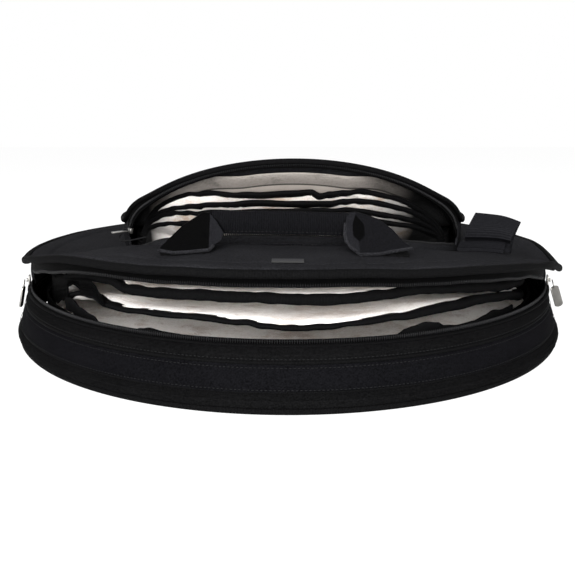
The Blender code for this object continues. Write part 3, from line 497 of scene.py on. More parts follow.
def pocket_lining_look(look):
    """Pile under the pocket's top, drawn in painted shade as a grey-brown copy of the fleece, with a darker
    brown line of painted shade and paler pile behind it.
    """
    along, across = look.flat_place()
    east, north = along - POCKET_CENTRE[0], across - POCKET_CENTRE[1]
    radius = look.maths("SQRT", east * east + north * north)
    # Painted shade: a brown line across the lining, and the pile behind it painted paler
    crease_shade = look.maths("LESS_THAN", look.maths("ABSOLUTE", radius - POCKET_CREASE_SHADE_RADIUS), 0.0013)
    behind = look.maths("LESS_THAN", radius, POCKET_CREASE_SHADE_RADIUS)
    lining = colours().pocket_lining
    front = brushed_pile(look, opaque(lining, 1.15), opaque(lining, 0.62))
    pile = look.blend_colours(behind, front, opaque(lining, 1.9))
    set_pocket_pile(look, along, look.blend_colours(crease_shade, pile, opaque(lining, 0.30)))


def teeth_look(look):
    grain = look.cloud(700)
    look.paint(grain, (0.0030, 0.0030, 0.0032, 1), (0.0110, 0.0110, 0.0115, 1), grain * 0.2 + 0.26, 0.04)
    look.bump(grain, 0.0001)


# Colour of the sewing thread, also laid on the pocket's lip as a painted highlight
def thread_and_highlight_look(look):
    grain = look.cloud(2600)
    look.paint(grain, (0.0040, 0.0040, 0.0042, 1), (0.0110, 0.0110, 0.0115, 1), 0.7, 0.02)
    look.bump(grain, 0.0001)


def nickel_look(look):
    """Nickel plate with a fine brushed grain and slightly duller patches."""
    patches = look.cloud(160, 3)
    stretched = look.node("ShaderNodeMapping", {}, Vector=look.object_place(), Scale=(3000, 3000, 160))
    scratches = look.node("ShaderNodeTexNoise", {}, Vector=stretched, Scale=1.0, Detail=2.0)
    metal = colours().metal
    look.set("Base Color", look.blend_colours(patches, opaque(metal, 0.82), opaque(metal, 1.08)))
    look.set("Metallic", 1.0)
    look.set("Roughness", patches * 0.18 + scratches * 0.12 + 0.16)
    look.bump(scratches, 0.00004)


def label_look(look):
    """Satin-woven label with a paler border, bare of lettering."""
    along, across = look.flat_place()
    grain = look.cloud(1800, 2)
    side = look.maths("ABSOLUTE", along - LABEL_SIZE[0] / 2)
    rise = look.maths("ABSOLUTE", across - LABEL_SIZE[1] / 2)
    border = look.maths("MAXIMUM", look.maths("GREATER_THAN", side, 0.0120),
                        look.maths("GREATER_THAN", rise, 0.0033))
    field = look.blend_colours(grain, (0.012, 0.012, 0.013, 1), (0.022, 0.022, 0.024, 1))
    look.paint(border, field, opaque(colours().label), 0.7, 0.1)
    look.bump(look.wave(across, 0.0006) + grain * 0.3, 0.0001)


# Each look by name: the record's slot, what fills it in, and the colour and settings that go in with it
LOOKS = {
    "bag_cloth": ("black_cloth", woven_cloth, "cloth", {"roughness": 0.80}),
    "bag_wall_cloth": ("ink_cloth", woven_cloth, "wall_cloth", {"roughness": 0.76}),
    # Darker copy of bag_cloth for the wall's bands: painted shade
    "bag_band_cloth": ("black_cloth", woven_cloth, "band_cloth", {"roughness": 0.80}),
    "bag_tape": ("black_tape", ribbed_tape, "tape", {}),
    "bag_dark_tape": ("black_tape", ribbed_tape, "tape", {"level": 0.35}),
    "bag_webbing": ("webbing", ribbed_tape, "webbing",
                    {"pitch": 0.0016, "relief": 0.0004, "roughness": 0.58}),
    # Also laid over the handle's turned flaps, where its paler colour is painted light
    "bag_tab_webbing": ("webbing", ribbed_tape, "webbing", {
        "level": 1.9, "pitch": 0.0016, "relief": 0.00012, "across_way": True, "roughness": 0.58}),
    # Darker copy of the tape for the handle's left leg and tucks: painted shade
    "bag_fold": ("webbing", ribbed_tape, "tape", {"level": 0.30, "relief": 0.0002}),
    "bag_fleece": ("fleece", fleece_look, None, {}),
    "bag_pocket_fleece": ("fleece", pocket_fleece_look, None, {}),
    "bag_pocket_lining": ("fleece", pocket_lining_look, None, {}),
    "bag_teeth": ("black_teeth", teeth_look, None, {}),
    "bag_thread": ("black_tape", thread_and_highlight_look, None, {}),
    "bag_nickel": ("nickel", nickel_look, None, {}),
    "bag_label": ("label_weave", label_look, None, {}),
}


def look_of(name):
    """The named material, made the first time that a piece asks for it."""
    found = bpy.data.materials.get(name)
    if found:
        return found
    _, fill, colour, settings = LOOKS[name]
    look = Look(name)
    if colour:
        settings = {"colour": getattr(colours(), colour), **settings}
    fill(look, **settings)
    return look.material


def sizes():
    return bpy.context.scene.bag_sizes


def colours():
    return bpy.context.scene.bag_colours


# Shapes


def smooth(share):
    share = min(max(share, 0), 1)
    return share * share * (3 - 2 * share)


def between(stops, value):
    """A value read off a table of (place, value) stops, smoothly from each stop to the next."""
    for (low, first), (high, second) in zip(stops, stops[1:]):
        if value <= high:
            return first + (second - first) * smooth((value - low) / (high - low))
    return stops[-1][1]


def ripple(x, y, z, scale):
    """Smooth noise from -1 to 1 over about 1/scale metres."""
    return noise.noise(Vector((x, y, z)) * scale)


def wall_reach(reach, x, y):
    """Reach of an edge of the wall towards the unit vector (x, y)."""
    return reach[0] + reach[1] * max(-x, 0) - reach[2] * max(-y, 0)


def lid_rim(angle):
    """Reach of the lid, whose loose right side spreads wider."""
    return LID_RADIUS + LID_RIGHT_REACH * smooth((math.cos(angle) - 0.55) / 0.27)


def lid_top(x, y):
    """Height of the lid's outer face, which swells up to the front rim and is crowned at its right."""
    start = RISE_START_Y - RISE_SIDE_SETBACK * (x / LID_RADIUS) ** 2
    crown = smooth((x - 0.10) / 0.13) * smooth((y + 0.16) / 0.08)
    crown *= 1 - smooth((math.hypot(x, y) - 0.235) / 0.05) * smooth((0.04 - y) / 0.10)
    level = LID_LEVEL + LID_RISE * smooth((start - y) / RISE_RUN) - LID_LEAN * x / LID_RADIUS
    droop = between(LID_DROOP, math.degrees(math.atan2(y, x))) if y < 0 else 0
    return level + LID_CROWN * crown - droop * smooth((math.hypot(x, y) - 0.215) / 0.065)


def bend_up(point, pivot_z, lift, softness=FOLD_SOFTNESS):
    """Bends a point of a flat layer up over the fold line, through an arc 2 * softness long."""
    ahead = FOLD_Y - point.y
    height = point.z - pivot_z
    if ahead <= -softness or abs(lift) < 1e-6:
        return point.copy()
    turned = lift * min((ahead + softness) / (2 * softness), 1)
    radius = 2 * softness / lift
    y = radius * math.sin(turned) - softness
    z = radius * (1 - math.cos(turned))
    beyond = max(ahead - softness, 0)
    y += beyond * math.cos(lift)
    z += beyond * math.sin(lift)
    return Vector((point.x, FOLD_Y - y + math.sin(turned) * height,
                   pivot_z + z + math.cos(turned) * height))


def finished(name, data, look):
    """A named object at the origin with its look."""
    data.materials.clear()
    data.materials.append(look_of(look))
    data.name = name
    piece = bpy.data.objects.new(name, data)
    bpy.context.scene.collection.objects.link(piece)
    return piece


def new_work():
    """An empty mesh to work on, and its layer of flat places."""
    work = bmesh.new()
    return work, work.loops.layers.uv.new("Flat")


def close_work(name, work, look, sharp=40):
    """The finished object made of a worked mesh; edges bent more than sharp degrees stay sharp."""
    data = bpy.data.meshes.new(name)
    bmesh.ops.remove_doubles(work, verts=work.verts, dist=1e-6)
    bmesh.ops.recalc_face_normals(work, faces=work.faces)
    work.to_mesh(data)
    work.free()
    data.shade_smooth()
    data.set_sharp_from_angle(angle=math.radians(sharp))
    return finished(name, data, look)


def add_face(work, layer, corners, places):
    for loop, place in zip(work.faces.new(corners).loops, places):
        loop[layer].uv = place


def add_grids(work, layer, outer, inner, flat, wrap):
    """Faces of two grids of points that lie over each other, row by row; gives their corners back."""
    columns = len(outer[0])
    layers = [[[work.verts.new(point) for point in row] for row in grid] for grid in (outer, inner)]
    for grid in layers:
        for row in range(len(outer) - 1):
            for column in range(columns if wrap else columns - 1):
                after = (column + 1) % columns
                add_face(work, layer,
                         [grid[row][column], grid[row][after], grid[row + 1][after], grid[row + 1][column]],
                         [flat[row][column], flat[row][column + 1], flat[row + 1][column + 1],
                          flat[row + 1][column]])
    return layers


def shell(name, outer, inner, flat, look, wrap=False, sharp=40):
    """A closed piece of cloth between two grids of points; wrap joins the last column to the first."""
    work, layer = new_work()
    rows, columns = len(outer), len(outer[0])
    top, bottom = add_grids(work, layer, outer, inner, flat, wrap)
    for row in (0, rows - 1):
        for column in range(columns if wrap else columns - 1):
            after = (column + 1) % columns
            add_face(work, layer, [top[row][column], top[row][after], bottom[row][after],
                                   bottom[row][column]], [flat[row][column]] * 4)
    if not wrap:
        for column in (0, columns - 1):
            for row in range(rows - 1):
                add_face(work, layer, [top[row][column], top[row + 1][column], bottom[row + 1][column],
                                       bottom[row][column]], [flat[row][column]] * 4)
    return close_work(name, work, look, sharp)


def skin(name, columns, rows, place, thickness, size, look, wrap=False, sharp=40):
    """A sheet laid where place(u, v) says, thickened away from its outer face; size is its flat size."""
    step = 1e-4
    across = columns if wrap else columns + 1
    outer, inner, flat = [], [], []
    for row in range(rows + 1):
        v = row / rows
        outer.append([])
        inner.append([])
        flat.append([(size[0] * column / columns, size[1] * v) for column in range(columns + 1)])
        for column in range(across):
            u = column / columns
            point = place(u, v)
            ahead = place(u + step, v) - place(u - step, v)
            aside = place(u, min(v + step, 1)) - place(u, max(v - step, 0))
            normal = ahead.cross(aside).normalized()
            outer[-1].append(point)
            inner[-1].append(point - normal * thickness)
    return shell(name, outer, inner, flat, look, wrap, sharp)


def even_shares(count):
    return [number / count for number in range(count + 1)]


def rolled_in(share, roll, thickness):
    """How far a face draws in at a share of its sheet's radius, where the edge is rounded over."""
    edge = (share - 1 + roll) / roll if share > 1 - roll else 0
    return thickness / 2 * (1 - math.sqrt(max(1 - edge * edge, 0))) * 0.9


def round_sheet(name, radius_at, columns, shares, top, thickness, look, roll, bend=None):
    """A lying round sheet on rings at shares of its radius, its edge rounded over its last roll share."""
    outer, inner, flat = [], [], []
    for share in shares:
        outer.append([])
        inner.append([])
        flat.append([])
        for column in range(columns + 1):
            angle = 2 * math.pi * column / columns
            radius = radius_at(angle) * share
            x, y = radius * math.cos(angle), radius * math.sin(angle)
            flat[-1].append((x, y))
            if column == columns:
                continue
            pinch = rolled_in(share, roll, thickness)
            high = top(x, y)
            upper = Vector((x, y, high - pinch))
            lower = Vector((x, y, high - thickness + pinch))
            outer[-1].append(bend(upper) if bend else upper)
            inner[-1].append(bend(lower) if bend else lower)
    work, layer = new_work()
    over, under = add_grids(work, layer, outer, inner, flat, True)
    for column in range(columns):
        after = (column + 1) % columns
        add_face(work, layer, [over[-1][column], over[-1][after], under[-1][after], under[-1][column]],
                 [flat[-1][column]] * 4)
    return close_work(name, work, look, 50)


def tube(name, rows, flat, look, closed, sharp):
    """A skin over rings of points; flat has one more place than each ring, and one more row if closed."""
    work, layer = new_work()
    verts = [[work.verts.new(point) for point in row] for row in rows]
    corners = len(rows[0])
    for row in range(len(rows) if closed else len(rows) - 1):
        ahead = (row + 1) % len(rows)
        near, far = flat[row], flat[row + 1]
        for corner in range(corners):
            after = (corner + 1) % corners
            add_face(work, layer,
                     [verts[row][corner], verts[ahead][corner], verts[ahead][after], verts[row][after]],
                     (near[corner], far[corner], far[corner + 1], near[corner + 1]))
    if not closed:
        work.faces.new(verts[0])
        work.faces.new(verts[-1][::-1])
    return close_work(name, work, look, sharp)


def swept(name, path, profile, look, closed=False, sharp=50):
    """A closed profile swept along (point, outward, upward) frames; it may be a function of the share."""
    rows, flat = [], []
    run = 0.0
    for number, (point, outward, upward) in enumerate(path):
        if number:
            run += (point - path[number - 1][0]).length
        here = profile(number / (len(path) - 1)) if callable(profile) else profile
        rows.append([point + outward * out + upward * up for out, up in here])
        around = [0.0]
        for (a, b), (c, d) in zip(here, here[1:] + here[:1]):
            around.append(around[-1] + math.hypot(c - a, d - b))
        flat.append([(run, place) for place in around])
    flat.append([(run + 0.002, place) for _, place in flat[0]])
    return tube(name, rows, flat, look, closed, sharp)


def oval(half_out, half_up, corners=10, middle=(0.0, 0.0), squareness=1.0):
    """Points round an oval profile; squareness above 1 gives it flatter sides."""
    points = []
    for number in range(corners):
        angle = 2 * math.pi * (number + 0.5) / corners
        side, rise = math.cos(angle), math.sin(angle)
        side = math.copysign(abs(side) ** (1 / squareness), side)
        rise = math.copysign(abs(rise) ** (1 / squareness), rise)
        points.append((middle[0] + half_out * side, middle[1] + half_up * rise))
    return points


def ring_frames(centre, radius, first, last, count, height, bend=None):
    """Frames along a ring from first to last, in degrees; radius may be a function of its direction."""
    frames = []
    for number in range(count + 1):
        angle = math.radians(first + (last - first) * number / count)
        outward = Vector((math.cos(angle), math.sin(angle), 0))
        reach = radius(outward.x, outward.y) if callable(radius) else radius
        x = centre[0] + reach * outward.x
        y = centre[1] + reach * outward.y
        point = Vector((x, y, height(x, y)))
        upward = Vector((0, 0, 1))
        if bend:
            raised = bend(point)
            outward = (bend(point + outward * 0.001) - raised).normalized()
            upward = (bend(point + upward * 0.001) - raised).normalized()
            point = raised
        frames.append((point, outward, upward))
    return frames


def along_line(corners):
    """Each corner of a line with the way that the line takes past it."""
    last = len(corners) - 1
    for number, point in enumerate(corners):
        yield Vector(point), Vector(corners[min(number + 1, last)]) - Vector(corners[max(number - 1, 0)])


def ring_line(*ring):
    """Points of ring_frames alone."""
    return [point for point, _, _ in ring_frames(*ring)]


def front_arc(radius, centre_y, y):
    """Bearings in degrees, left and right, at which a circle crosses a line across the bag."""
    right = math.degrees(math.asin((y - centre_y) / radius))
    return -180 - right, right


def rear_arc(radius, centre_y, y):
    right = front_arc(radius, centre_y, y)[1]
    return 180 - right, right


def pocket_round(angle):
    """Place on the pocket's round at an angle, as x and y, and the way out from there."""
    x = POCKET_CENTRE[0] + POCKET_RADIUS * math.cos(angle)
    y = POCKET_CENTRE[1] + POCKET_RADIUS * math.sin(angle)
    return x, y, Vector((math.cos(angle), math.sin(angle), 0))


BEAD_NODES = {
    "entry": ("NodeGroupInput", {}),
    "line": ("GeometryNodeMeshToCurve", {}),
    "upright": ("GeometryNodeSetCurveNormal", {"mode": "Z_UP"}),
    "points": ("GeometryNodeCurveToPoints", {"mode": "LENGTH"}),
    "turn": ("FunctionNodeAxesToRotation", {"primary_axis": "X", "secondary_axis": "Y"}),
    "bead": ("GeometryNodeMeshUVSphere", {}),
    "soften": ("GeometryNodeSetShadeSmooth", {}),
    "place": ("GeometryNodeInstanceOnPoints", {}),
    "real": ("GeometryNodeRealizeInstances", {}),
    "paint": ("GeometryNodeSetMaterial", {}),
    "leave": ("NodeGroupOutput", {}),
}
BEAD_LINKS = (
    ("entry", "Line", "line", "Mesh"), ("line", "Curve", "upright", "Curve"),
    ("upright", "Curve", "points", "Curve"), ("entry", "Spacing", "points", "Length"),
    ("points", "Tangent", "turn", 0), ("points", "Normal", "turn", 1),
    ("points", "Points", "place", "Points"), ("bead", "Mesh", "soften", "Geometry"),
    ("soften", "Geometry", "place", "Instance"), ("turn", "Rotation", "place", "Rotation"),
    ("entry", "Bead size", "place", "Scale"), ("place", "Instances", "real", "Geometry"),
    ("real", "Geometry", "paint", "Geometry"), ("paint", "Geometry", "leave", "Beads"),
)


def bead_tree(name, spacing, size, look):
    """Geometry nodes that set small rounded beads, such as teeth or stitches, along a line."""
    tree = bpy.data.node_groups.new(name, "GeometryNodeTree")
    keys = []
    for socket, kind, value in (("Line", "Geometry", None), ("Spacing", "Float", spacing),
                                ("Bead size", "Vector", size)):
        made = tree.interface.new_socket(socket, in_out="INPUT", socket_type="NodeSocket" + kind)
        if value is not None:
            made.default_value = value
            keys.append(made.identifier)
    tree.interface.new_socket("Beads", in_out="OUTPUT", socket_type="NodeSocketGeometry")
    nodes = {}
    for key, (kind, settings) in BEAD_NODES.items():
        nodes[key] = tree.nodes.new(kind)
        for setting, value in settings.items():
            setattr(nodes[key], setting, value)
    for key, socket, value in (("bead", "Segments", 6), ("bead", "Rings", 4), ("bead", "Radius", 0.5),
                               ("soften", "Shade Smooth", True), ("paint", "Material", look_of(look))):
        nodes[key].inputs[socket].default_value = value
    for near, out, far, into in BEAD_LINKS:
        tree.links.new(nodes[near].outputs[out], nodes[far].inputs[into])
    return tree, keys


def beads(name, line, spacing, size, look):
    """Beads along a line of points, or several lines, made a plain mesh."""
    tree, keys = bead_tree(name + "_beads", spacing, size, look)
    points, edges = [], []
    for row in line if isinstance(line[0], list) else [line]:
        start = len(points)
        points += [tuple(point) for point in row]
        edges += [(start + number, start + number + 1) for number in range(len(row) - 1)]
    data = bpy.data.meshes.new(name + "_line")
    data.from_pydata(points, edges, [])
    guide = bpy.data.objects.new(name + "_guide", data)
    bpy.context.scene.collection.objects.link(guide)
    modifier = guide.modifiers.new("beads", "NODES")
    modifier.node_group = tree
    for key, value in zip(keys, (spacing, size)):
        modifier[key] = value
    bpy.context.view_layer.update()
    evaluated = guide.evaluated_get(bpy.context.evaluated_depsgraph_get())
    made = bpy.data.meshes.new_from_object(evaluated)
    bpy.data.objects.remove(guide)
    bpy.data.meshes.remove(data)
    bpy.data.node_groups.remove(tree)
    return finished(name, made, look)


def zip_teeth(name, line, size=MAIN_TOOTH):
    return beads(name, line, sizes().zip_pitch, size, "bag_teeth")


def stitches(name, line):
    """Sewing thread that lies on the cloth in one row or several."""
    length, width = sizes().stitch_length, sizes().stitch_width
    return beads(name, line, length * 1.35, (length, width, width), "bag_thread")


def boxy(name, size, matrix, bevel):
    """A rounded nickel block placed by a matrix, with its place in its mesh."""
    work, _ = new_work()
    bmesh.ops.create_cube(work, size=1)
    bmesh.ops.scale(work, vec=size, verts=work.verts)
    bmesh.ops.bevel(work, geom=work.edges, offset=bevel, segments=2, affect="EDGES", profile=0.6)
    bmesh.ops.transform(work, matrix=matrix, verts=work.verts)
    return close_work(name, work, "bag_nickel")


def join_rings(work, near, far):
    """Faces from one ring of corners to the next."""
    for step in range(len(near)):
        after = (step + 1) % len(near)
        work.faces.new([near[step], near[after], far[after], far[step]])


def wire_loop(name, points, radius):
    """A closed loop of round nickel wire."""
    count, sides = len(points), 10
    work, _ = new_work()
    rings = []
    middle = sum(points, Vector()) / count
    plane = (points[1] - points[0]).cross(points[count // 2] - points[0]).normalized()
    for number, point in enumerate(points):
        ahead = (points[(number + 1) % count] - points[number - 1]).normalized()
        side = ahead.cross(plane).normalized()
        if side.dot(point - middle) < 0:
            side = -side
        rings.append([
            work.verts.new(point + side * math.cos(turn) * radius + plane * math.sin(turn) * radius)
            for turn in (2 * math.pi * step / sides for step in range(sides))])
    for near, far in zip(rings, rings[1:] + rings[:1]):
        join_rings(work, near, far)
    return close_work(name, work, "bag_nickel")


# Pieces


def wall_band(name, low, high, low_reach, high_reach, look, node, seed):
    """One padded band of the wall, gathered a little along its seams."""
    tall = high - low
    size = (math.pi * (low_reach[0] + high_reach[0]), tall)
    pucker = sizes().cloth_pucker

    def place(u, v):
        angle = -2 * math.pi * (1 - u)
        x, y = math.cos(angle), math.sin(angle)
        edge = 1 - math.sin(math.pi * min(max(v, 0), 1))
        radius = wall_reach(low_reach, x, y) * (1 - v) + wall_reach(high_reach, x, y) * v
        radius += BAND_SWELL * math.sin(math.pi * v) ** 0.7 if 0 < v < 1 else 0
        radius += 0.0009 * ripple(x, y, seed, 3.1) + 0.0005 * ripple(x, y, seed + v * 0.3, 9)
        radius += pucker * edge * edge * ripple(x * 0.29, y * 0.29, seed + v * 0.004, 95)
        return Vector((x * radius, y * radius, low + tall * v))

    piece = skin(name, RING_COLUMNS, 14, place, 0.0060, size, look, wrap=True)
    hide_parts(node)
    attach(piece, "bag")


def lip_of(x, y):
    """Top of the pocket's low front wall, which sags just in front of its left end."""
    sag = 0.004 * math.exp(-((x + 0.160) / 0.018) ** 2)
    return lid_top(x, y) + POCKET_LIP_HEIGHT - sag + 0.0006 * ripple(x, y, 2.0, 40)


def pinched(point):
    """The pocket is drawn in where its zip stops, and its rim stands up in front of there."""
    share = 1 - POCKET_PINCH * math.exp(-((point.y + 0.030) / 0.034) ** 2)
    across = point.x - POCKET_CENTRE[0]
    lift = POCKET_CORNER_LIFT * smooth((abs(across) - 0.085) / 0.055)
    lift *= math.exp(-((point.y + 0.074) / 0.026) ** 2)
    lift *= smooth(1 - (POCKET_LEVEL - point.z) / POCKET_WALL_DEPTH)
    return Vector((POCKET_CENTRE[0] + across * share, point.y, point.z + lift))


def pocket_bend(point):
    return bend_up(pinched(point), POCKET_LEVEL, POCKET_LIFT, POCKET_SOFTNESS)


def wall_bend(point):
    """Bends the pocket's wall with its top, and less and less further down it."""
    depth = POCKET_LEVEL - point.z
    fade = smooth(1 - depth / POCKET_WALL_DEPTH)
    ahead = smooth((FOLD_Y - point.y) / 0.02)
    return bend_up(pinched(point), POCKET_LEVEL, POCKET_LIFT * (fade + (1 - fade) * ahead), POCKET_SOFTNESS)


def pocket_swell(x, y, share):
    """Height that the raised top stands off its plain plane, fullest at its shoulders."""
    across = abs(x - POCKET_CENTRE[0])
    shoulder = smooth((across - 0.045) / 0.050) * smooth((0.185 - across) / 0.035)
    shoulder *= smooth((FOLD_Y - y) / 0.03)
    return 0.0085 * shoulder * smooth((1 - share) / 0.07)


def half_sheet(name, radius, front, top, thickness, look, bend, columns=110, rows=36, roll=0.05):
    """Half of a round sheet of the pocket, from the fold line out to its arc."""
    centre = POCKET_CENTRE
    low = math.asin((FOLD_Y - centre[1]) / radius)
    sweep = math.pi + 2 * low if front else -math.pi + 2 * low
    outer, inner, flat = [], [], []
    for row in range(rows + 1):
        v = 1 - (1 - row / rows) ** 1.5
        outer.append([])
        inner.append([])
        flat.append([])
        for column in range(columns + 1):
            u = column / columns
            angle = math.pi - low + sweep * u
            side = -math.cos(math.pi * u) * radius * math.cos(low)
            x = centre[0] + side + (radius * math.cos(angle) - side) * v
            y = FOLD_Y + (centre[1] + radius * math.sin(angle) - FOLD_Y) * v
            share = min(math.hypot(x - centre[0], y - centre[1]) / radius, 1)
            pinch = rolled_in(share, roll, thickness)
            high = top(x, y, share)
            outer[-1].append(bend(Vector((x, y, high - pinch))))
            inner[-1].append(bend(Vector((x, y, high - thickness + pinch))))
            flat[-1].append((x, y))
    return shell(name, outer, inner, flat, look, sharp=50)


def handle_frame(share):
    """Middle of the handle's strap and half its width, at a share of the way from foot to foot."""
    side = 1 if share > 0.5 else -1
    foot_x = HANDLE_FEET_X[1] if share > 0.5 else HANDLE_FEET_X[0]
    grip_x = foot_x - side * HANDLE_GRIP_SPREAD
    near = 1 - abs(2 * share - 1)
    leg = near / HANDLE_LEG
    rise = smooth(leg / 0.85)
    turned = smooth((leg - 0.12) / 0.80)
    x = foot_x + (grip_x - foot_x) * turned
    if leg > 1:
        middle = sum(HANDLE_FEET_X) / 2
        x = grip_x + (middle - grip_x) * (near - HANDLE_LEG) / (1 - HANDLE_LEG)
    feet = [lid_top(foot, HANDLE_FOOT_Y) + 0.0036 for foot in HANDLE_FEET_X]
    crossed = min(max((share - HANDLE_LEG / 2) / (1 - HANDLE_LEG), 0), 1)
    foot_z = feet[0] + (feet[1] - feet[0]) * crossed
    bow = 0.0012 * math.sin(math.pi * share)
    centre = Vector((x, HANDLE_FOOT_Y + HANDLE_GRIP_SETBACK * rise,
                     foot_z + HANDLE_GRIP_HEIGHT * rise + bow))
    turn = math.radians(90) * turned
    half = (WEBBING_WIDTH * (1 - turned) + HANDLE_GRIP_WIDTH * turned) / 2
    return centre, Vector((side * math.cos(turn), 0, math.sin(turn))) * half, turned


class BAG_OT_base_and_wall(bpy.types.Operator):
    """Make the base, the three bands of the padded wall, their seams and the fleece inside"""

    bl_idname = "bag.base_and_wall"
    bl_label = "Base and wall"

    def execute(self, context):
        shares = [0, 0.1, 0.25, 0.4, 0.55, 0.7, 0.8, 0.88, 0.94, 0.97, 1]
        base = round_sheet("base_cloth", lambda angle: BASE_RADIUS, 160, shares,
                           lambda x, y: BASE_TOP, BASE_THICKNESS, "bag_cloth", 0.03)
        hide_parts("base_panel")
        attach(base, "bag")
        foot = ring_frames((0, 0), FOOT_CORD_RADIUS, 0, 360, 260, lambda x, y: PIPING_RADIUS)[:-1]
        piping = swept("foot_piping", foot, oval(PIPING_RADIUS, PIPING_RADIUS), "bag_tape", True)
        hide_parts("base_piping")
        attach(piping, "bag")

        wall_band("wall_band_low", WALL_FOOT, LOWER_SEAM - 0.0004, FOOT_REACH, LOWER_SEAM_REACH,
                  "bag_band_cloth", "wall_lower_band", 1.0)
        wall_band("wall_band_middle", LOWER_SEAM + 0.0004, UPPER_SEAM - 0.0009, LOWER_SEAM_REACH,
                  UPPER_SEAM_REACH, "bag_wall_cloth", "wall_middle_band", 5.0)
        wall_band("wall_band_top", UPPER_SEAM + 0.0009, WALL_TOP, UPPER_SEAM_REACH, WALL_TOP_REACH,
                  "bag_band_cloth", "wall_upper_band", 9.0)
        self.add_seams()
        self.add_lining()
        return {"FINISHED"}

    def add_seams(self):
        """Welt cords sunk in the seams, with a row of stitches on either side."""
        def ring(reach, out, level):
            return ring_frames((0, 0), lambda x, y: wall_reach(reach, x, y) + out, 0, 360, 260,
                               lambda x, y: level)

        for name, reach, sunk, level, thick in (
                ("welt_low", LOWER_SEAM_REACH, 0.0006, LOWER_SEAM, 0.0011),
                ("welt_high", UPPER_SEAM_REACH, 0.0001, UPPER_SEAM, 0.0017)):
            welt = swept(name, ring(reach, -sunk, level)[:-1], oval(thick, thick, 8), "bag_tape", True)
            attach(welt, "bag")
        rows = []
        for reach, out, level in ((UPPER_SEAM_REACH, 0.0010, UPPER_SEAM + 0.0031),
                                  (UPPER_SEAM_REACH, 0.0030, UPPER_SEAM - 0.0034),
                                  (LOWER_SEAM_REACH, 0.0012, LOWER_SEAM + 0.0026)):
            rows.append([point for point, _, _ in ring(reach, out, level)])
        thread = stitches("wall_stitches", rows)
        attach(thread, "bag")

    def add_lining(self):
        """Fleece on the wall's inner face and on the floor, and the black cloth round the mouth."""
        deep = sizes().fleece_depth

        def inner_wall(low, high, inset, depth, pitch):
            """A placing of cloth all round the wall's inner face, which stands off it unevenly."""
            def place(u, v):
                x, y = math.cos(2 * math.pi * u), math.sin(2 * math.pi * u)
                level = low + (high - low) * v
                radius = LINING_INNER_RADIUS - inset + depth * ripple(x * 0.27, y * 0.27, level, pitch)
                return Vector((x * radius, y * radius, level))

            return place

        lining = skin("wall_fleece", 300, 10, inner_wall(LINING_FOOT, FACING_FOOT, 0, deep, 160), -0.0038,
                      (1.72, 0.04), "bag_fleece", wrap=True)
        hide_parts("wall_lining")
        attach(lining, "bag")
        facing = skin("wall_facing", 240, 8,
                      inner_wall(FACING_FOOT - 0.001, WALL_TOP - 0.001, 0.0004, 0.0007, 60),
                      -0.0022, (1.70, 0.021), "bag_dark_tape", wrap=True)
        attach(facing, "bag")
        edge_profile = [(-0.0008, -0.014), (-0.0012, -0.0012), (0, 0), (0.0012, -0.0012),
                        (0.0008, -0.014)]
        for side, stops in (("left", FACING_EDGE), ("right", RIGHT_FACING_EDGE)):
            frames = ring_frames((0, 0), FACING_EDGE_RADIUS, stops[0][0], stops[-1][0], 90,
                                 lambda x, y: between(stops, math.degrees(math.atan2(y, x))))
            edge = swept("facing_edge_" + side, frames, edge_profile, "bag_tape")
            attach(edge, "bag")

        def corner_place(u, v):
            turn = CORNER_CLOTH[0][0] + (CORNER_CLOTH[-1][0] - CORNER_CLOTH[0][0]) * u
            high = between([(bear, top) for bear, top, foot in CORNER_CLOTH], turn)
            low = between([(bear, foot) for bear, top, foot in CORNER_CLOTH], turn)
            angle = math.radians(turn)
            radius = CORNER_CLOTH_RADIUS + 0.0004 * math.sin(9 * math.pi * v)
            return Vector((radius * math.cos(angle), radius * math.sin(angle), low + (high - low) * v))

        corner = skin("corner_cloth", 80, 10, corner_place, 0.0010, (0.16, 0.022), "bag_dark_tape")
        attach(corner, "bag")
        floor = round_sheet("floor_fleece", lambda angle: FLOOR_FLEECE_RADIUS, 200, even_shares(44),
                            lambda x, y: FLOOR_FLEECE_TOP + deep * ripple(x, y, 0.3, 120), 0.0038,
                            "bag_fleece", 0.02)
        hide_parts("floor_lining")
        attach(floor, "bag")


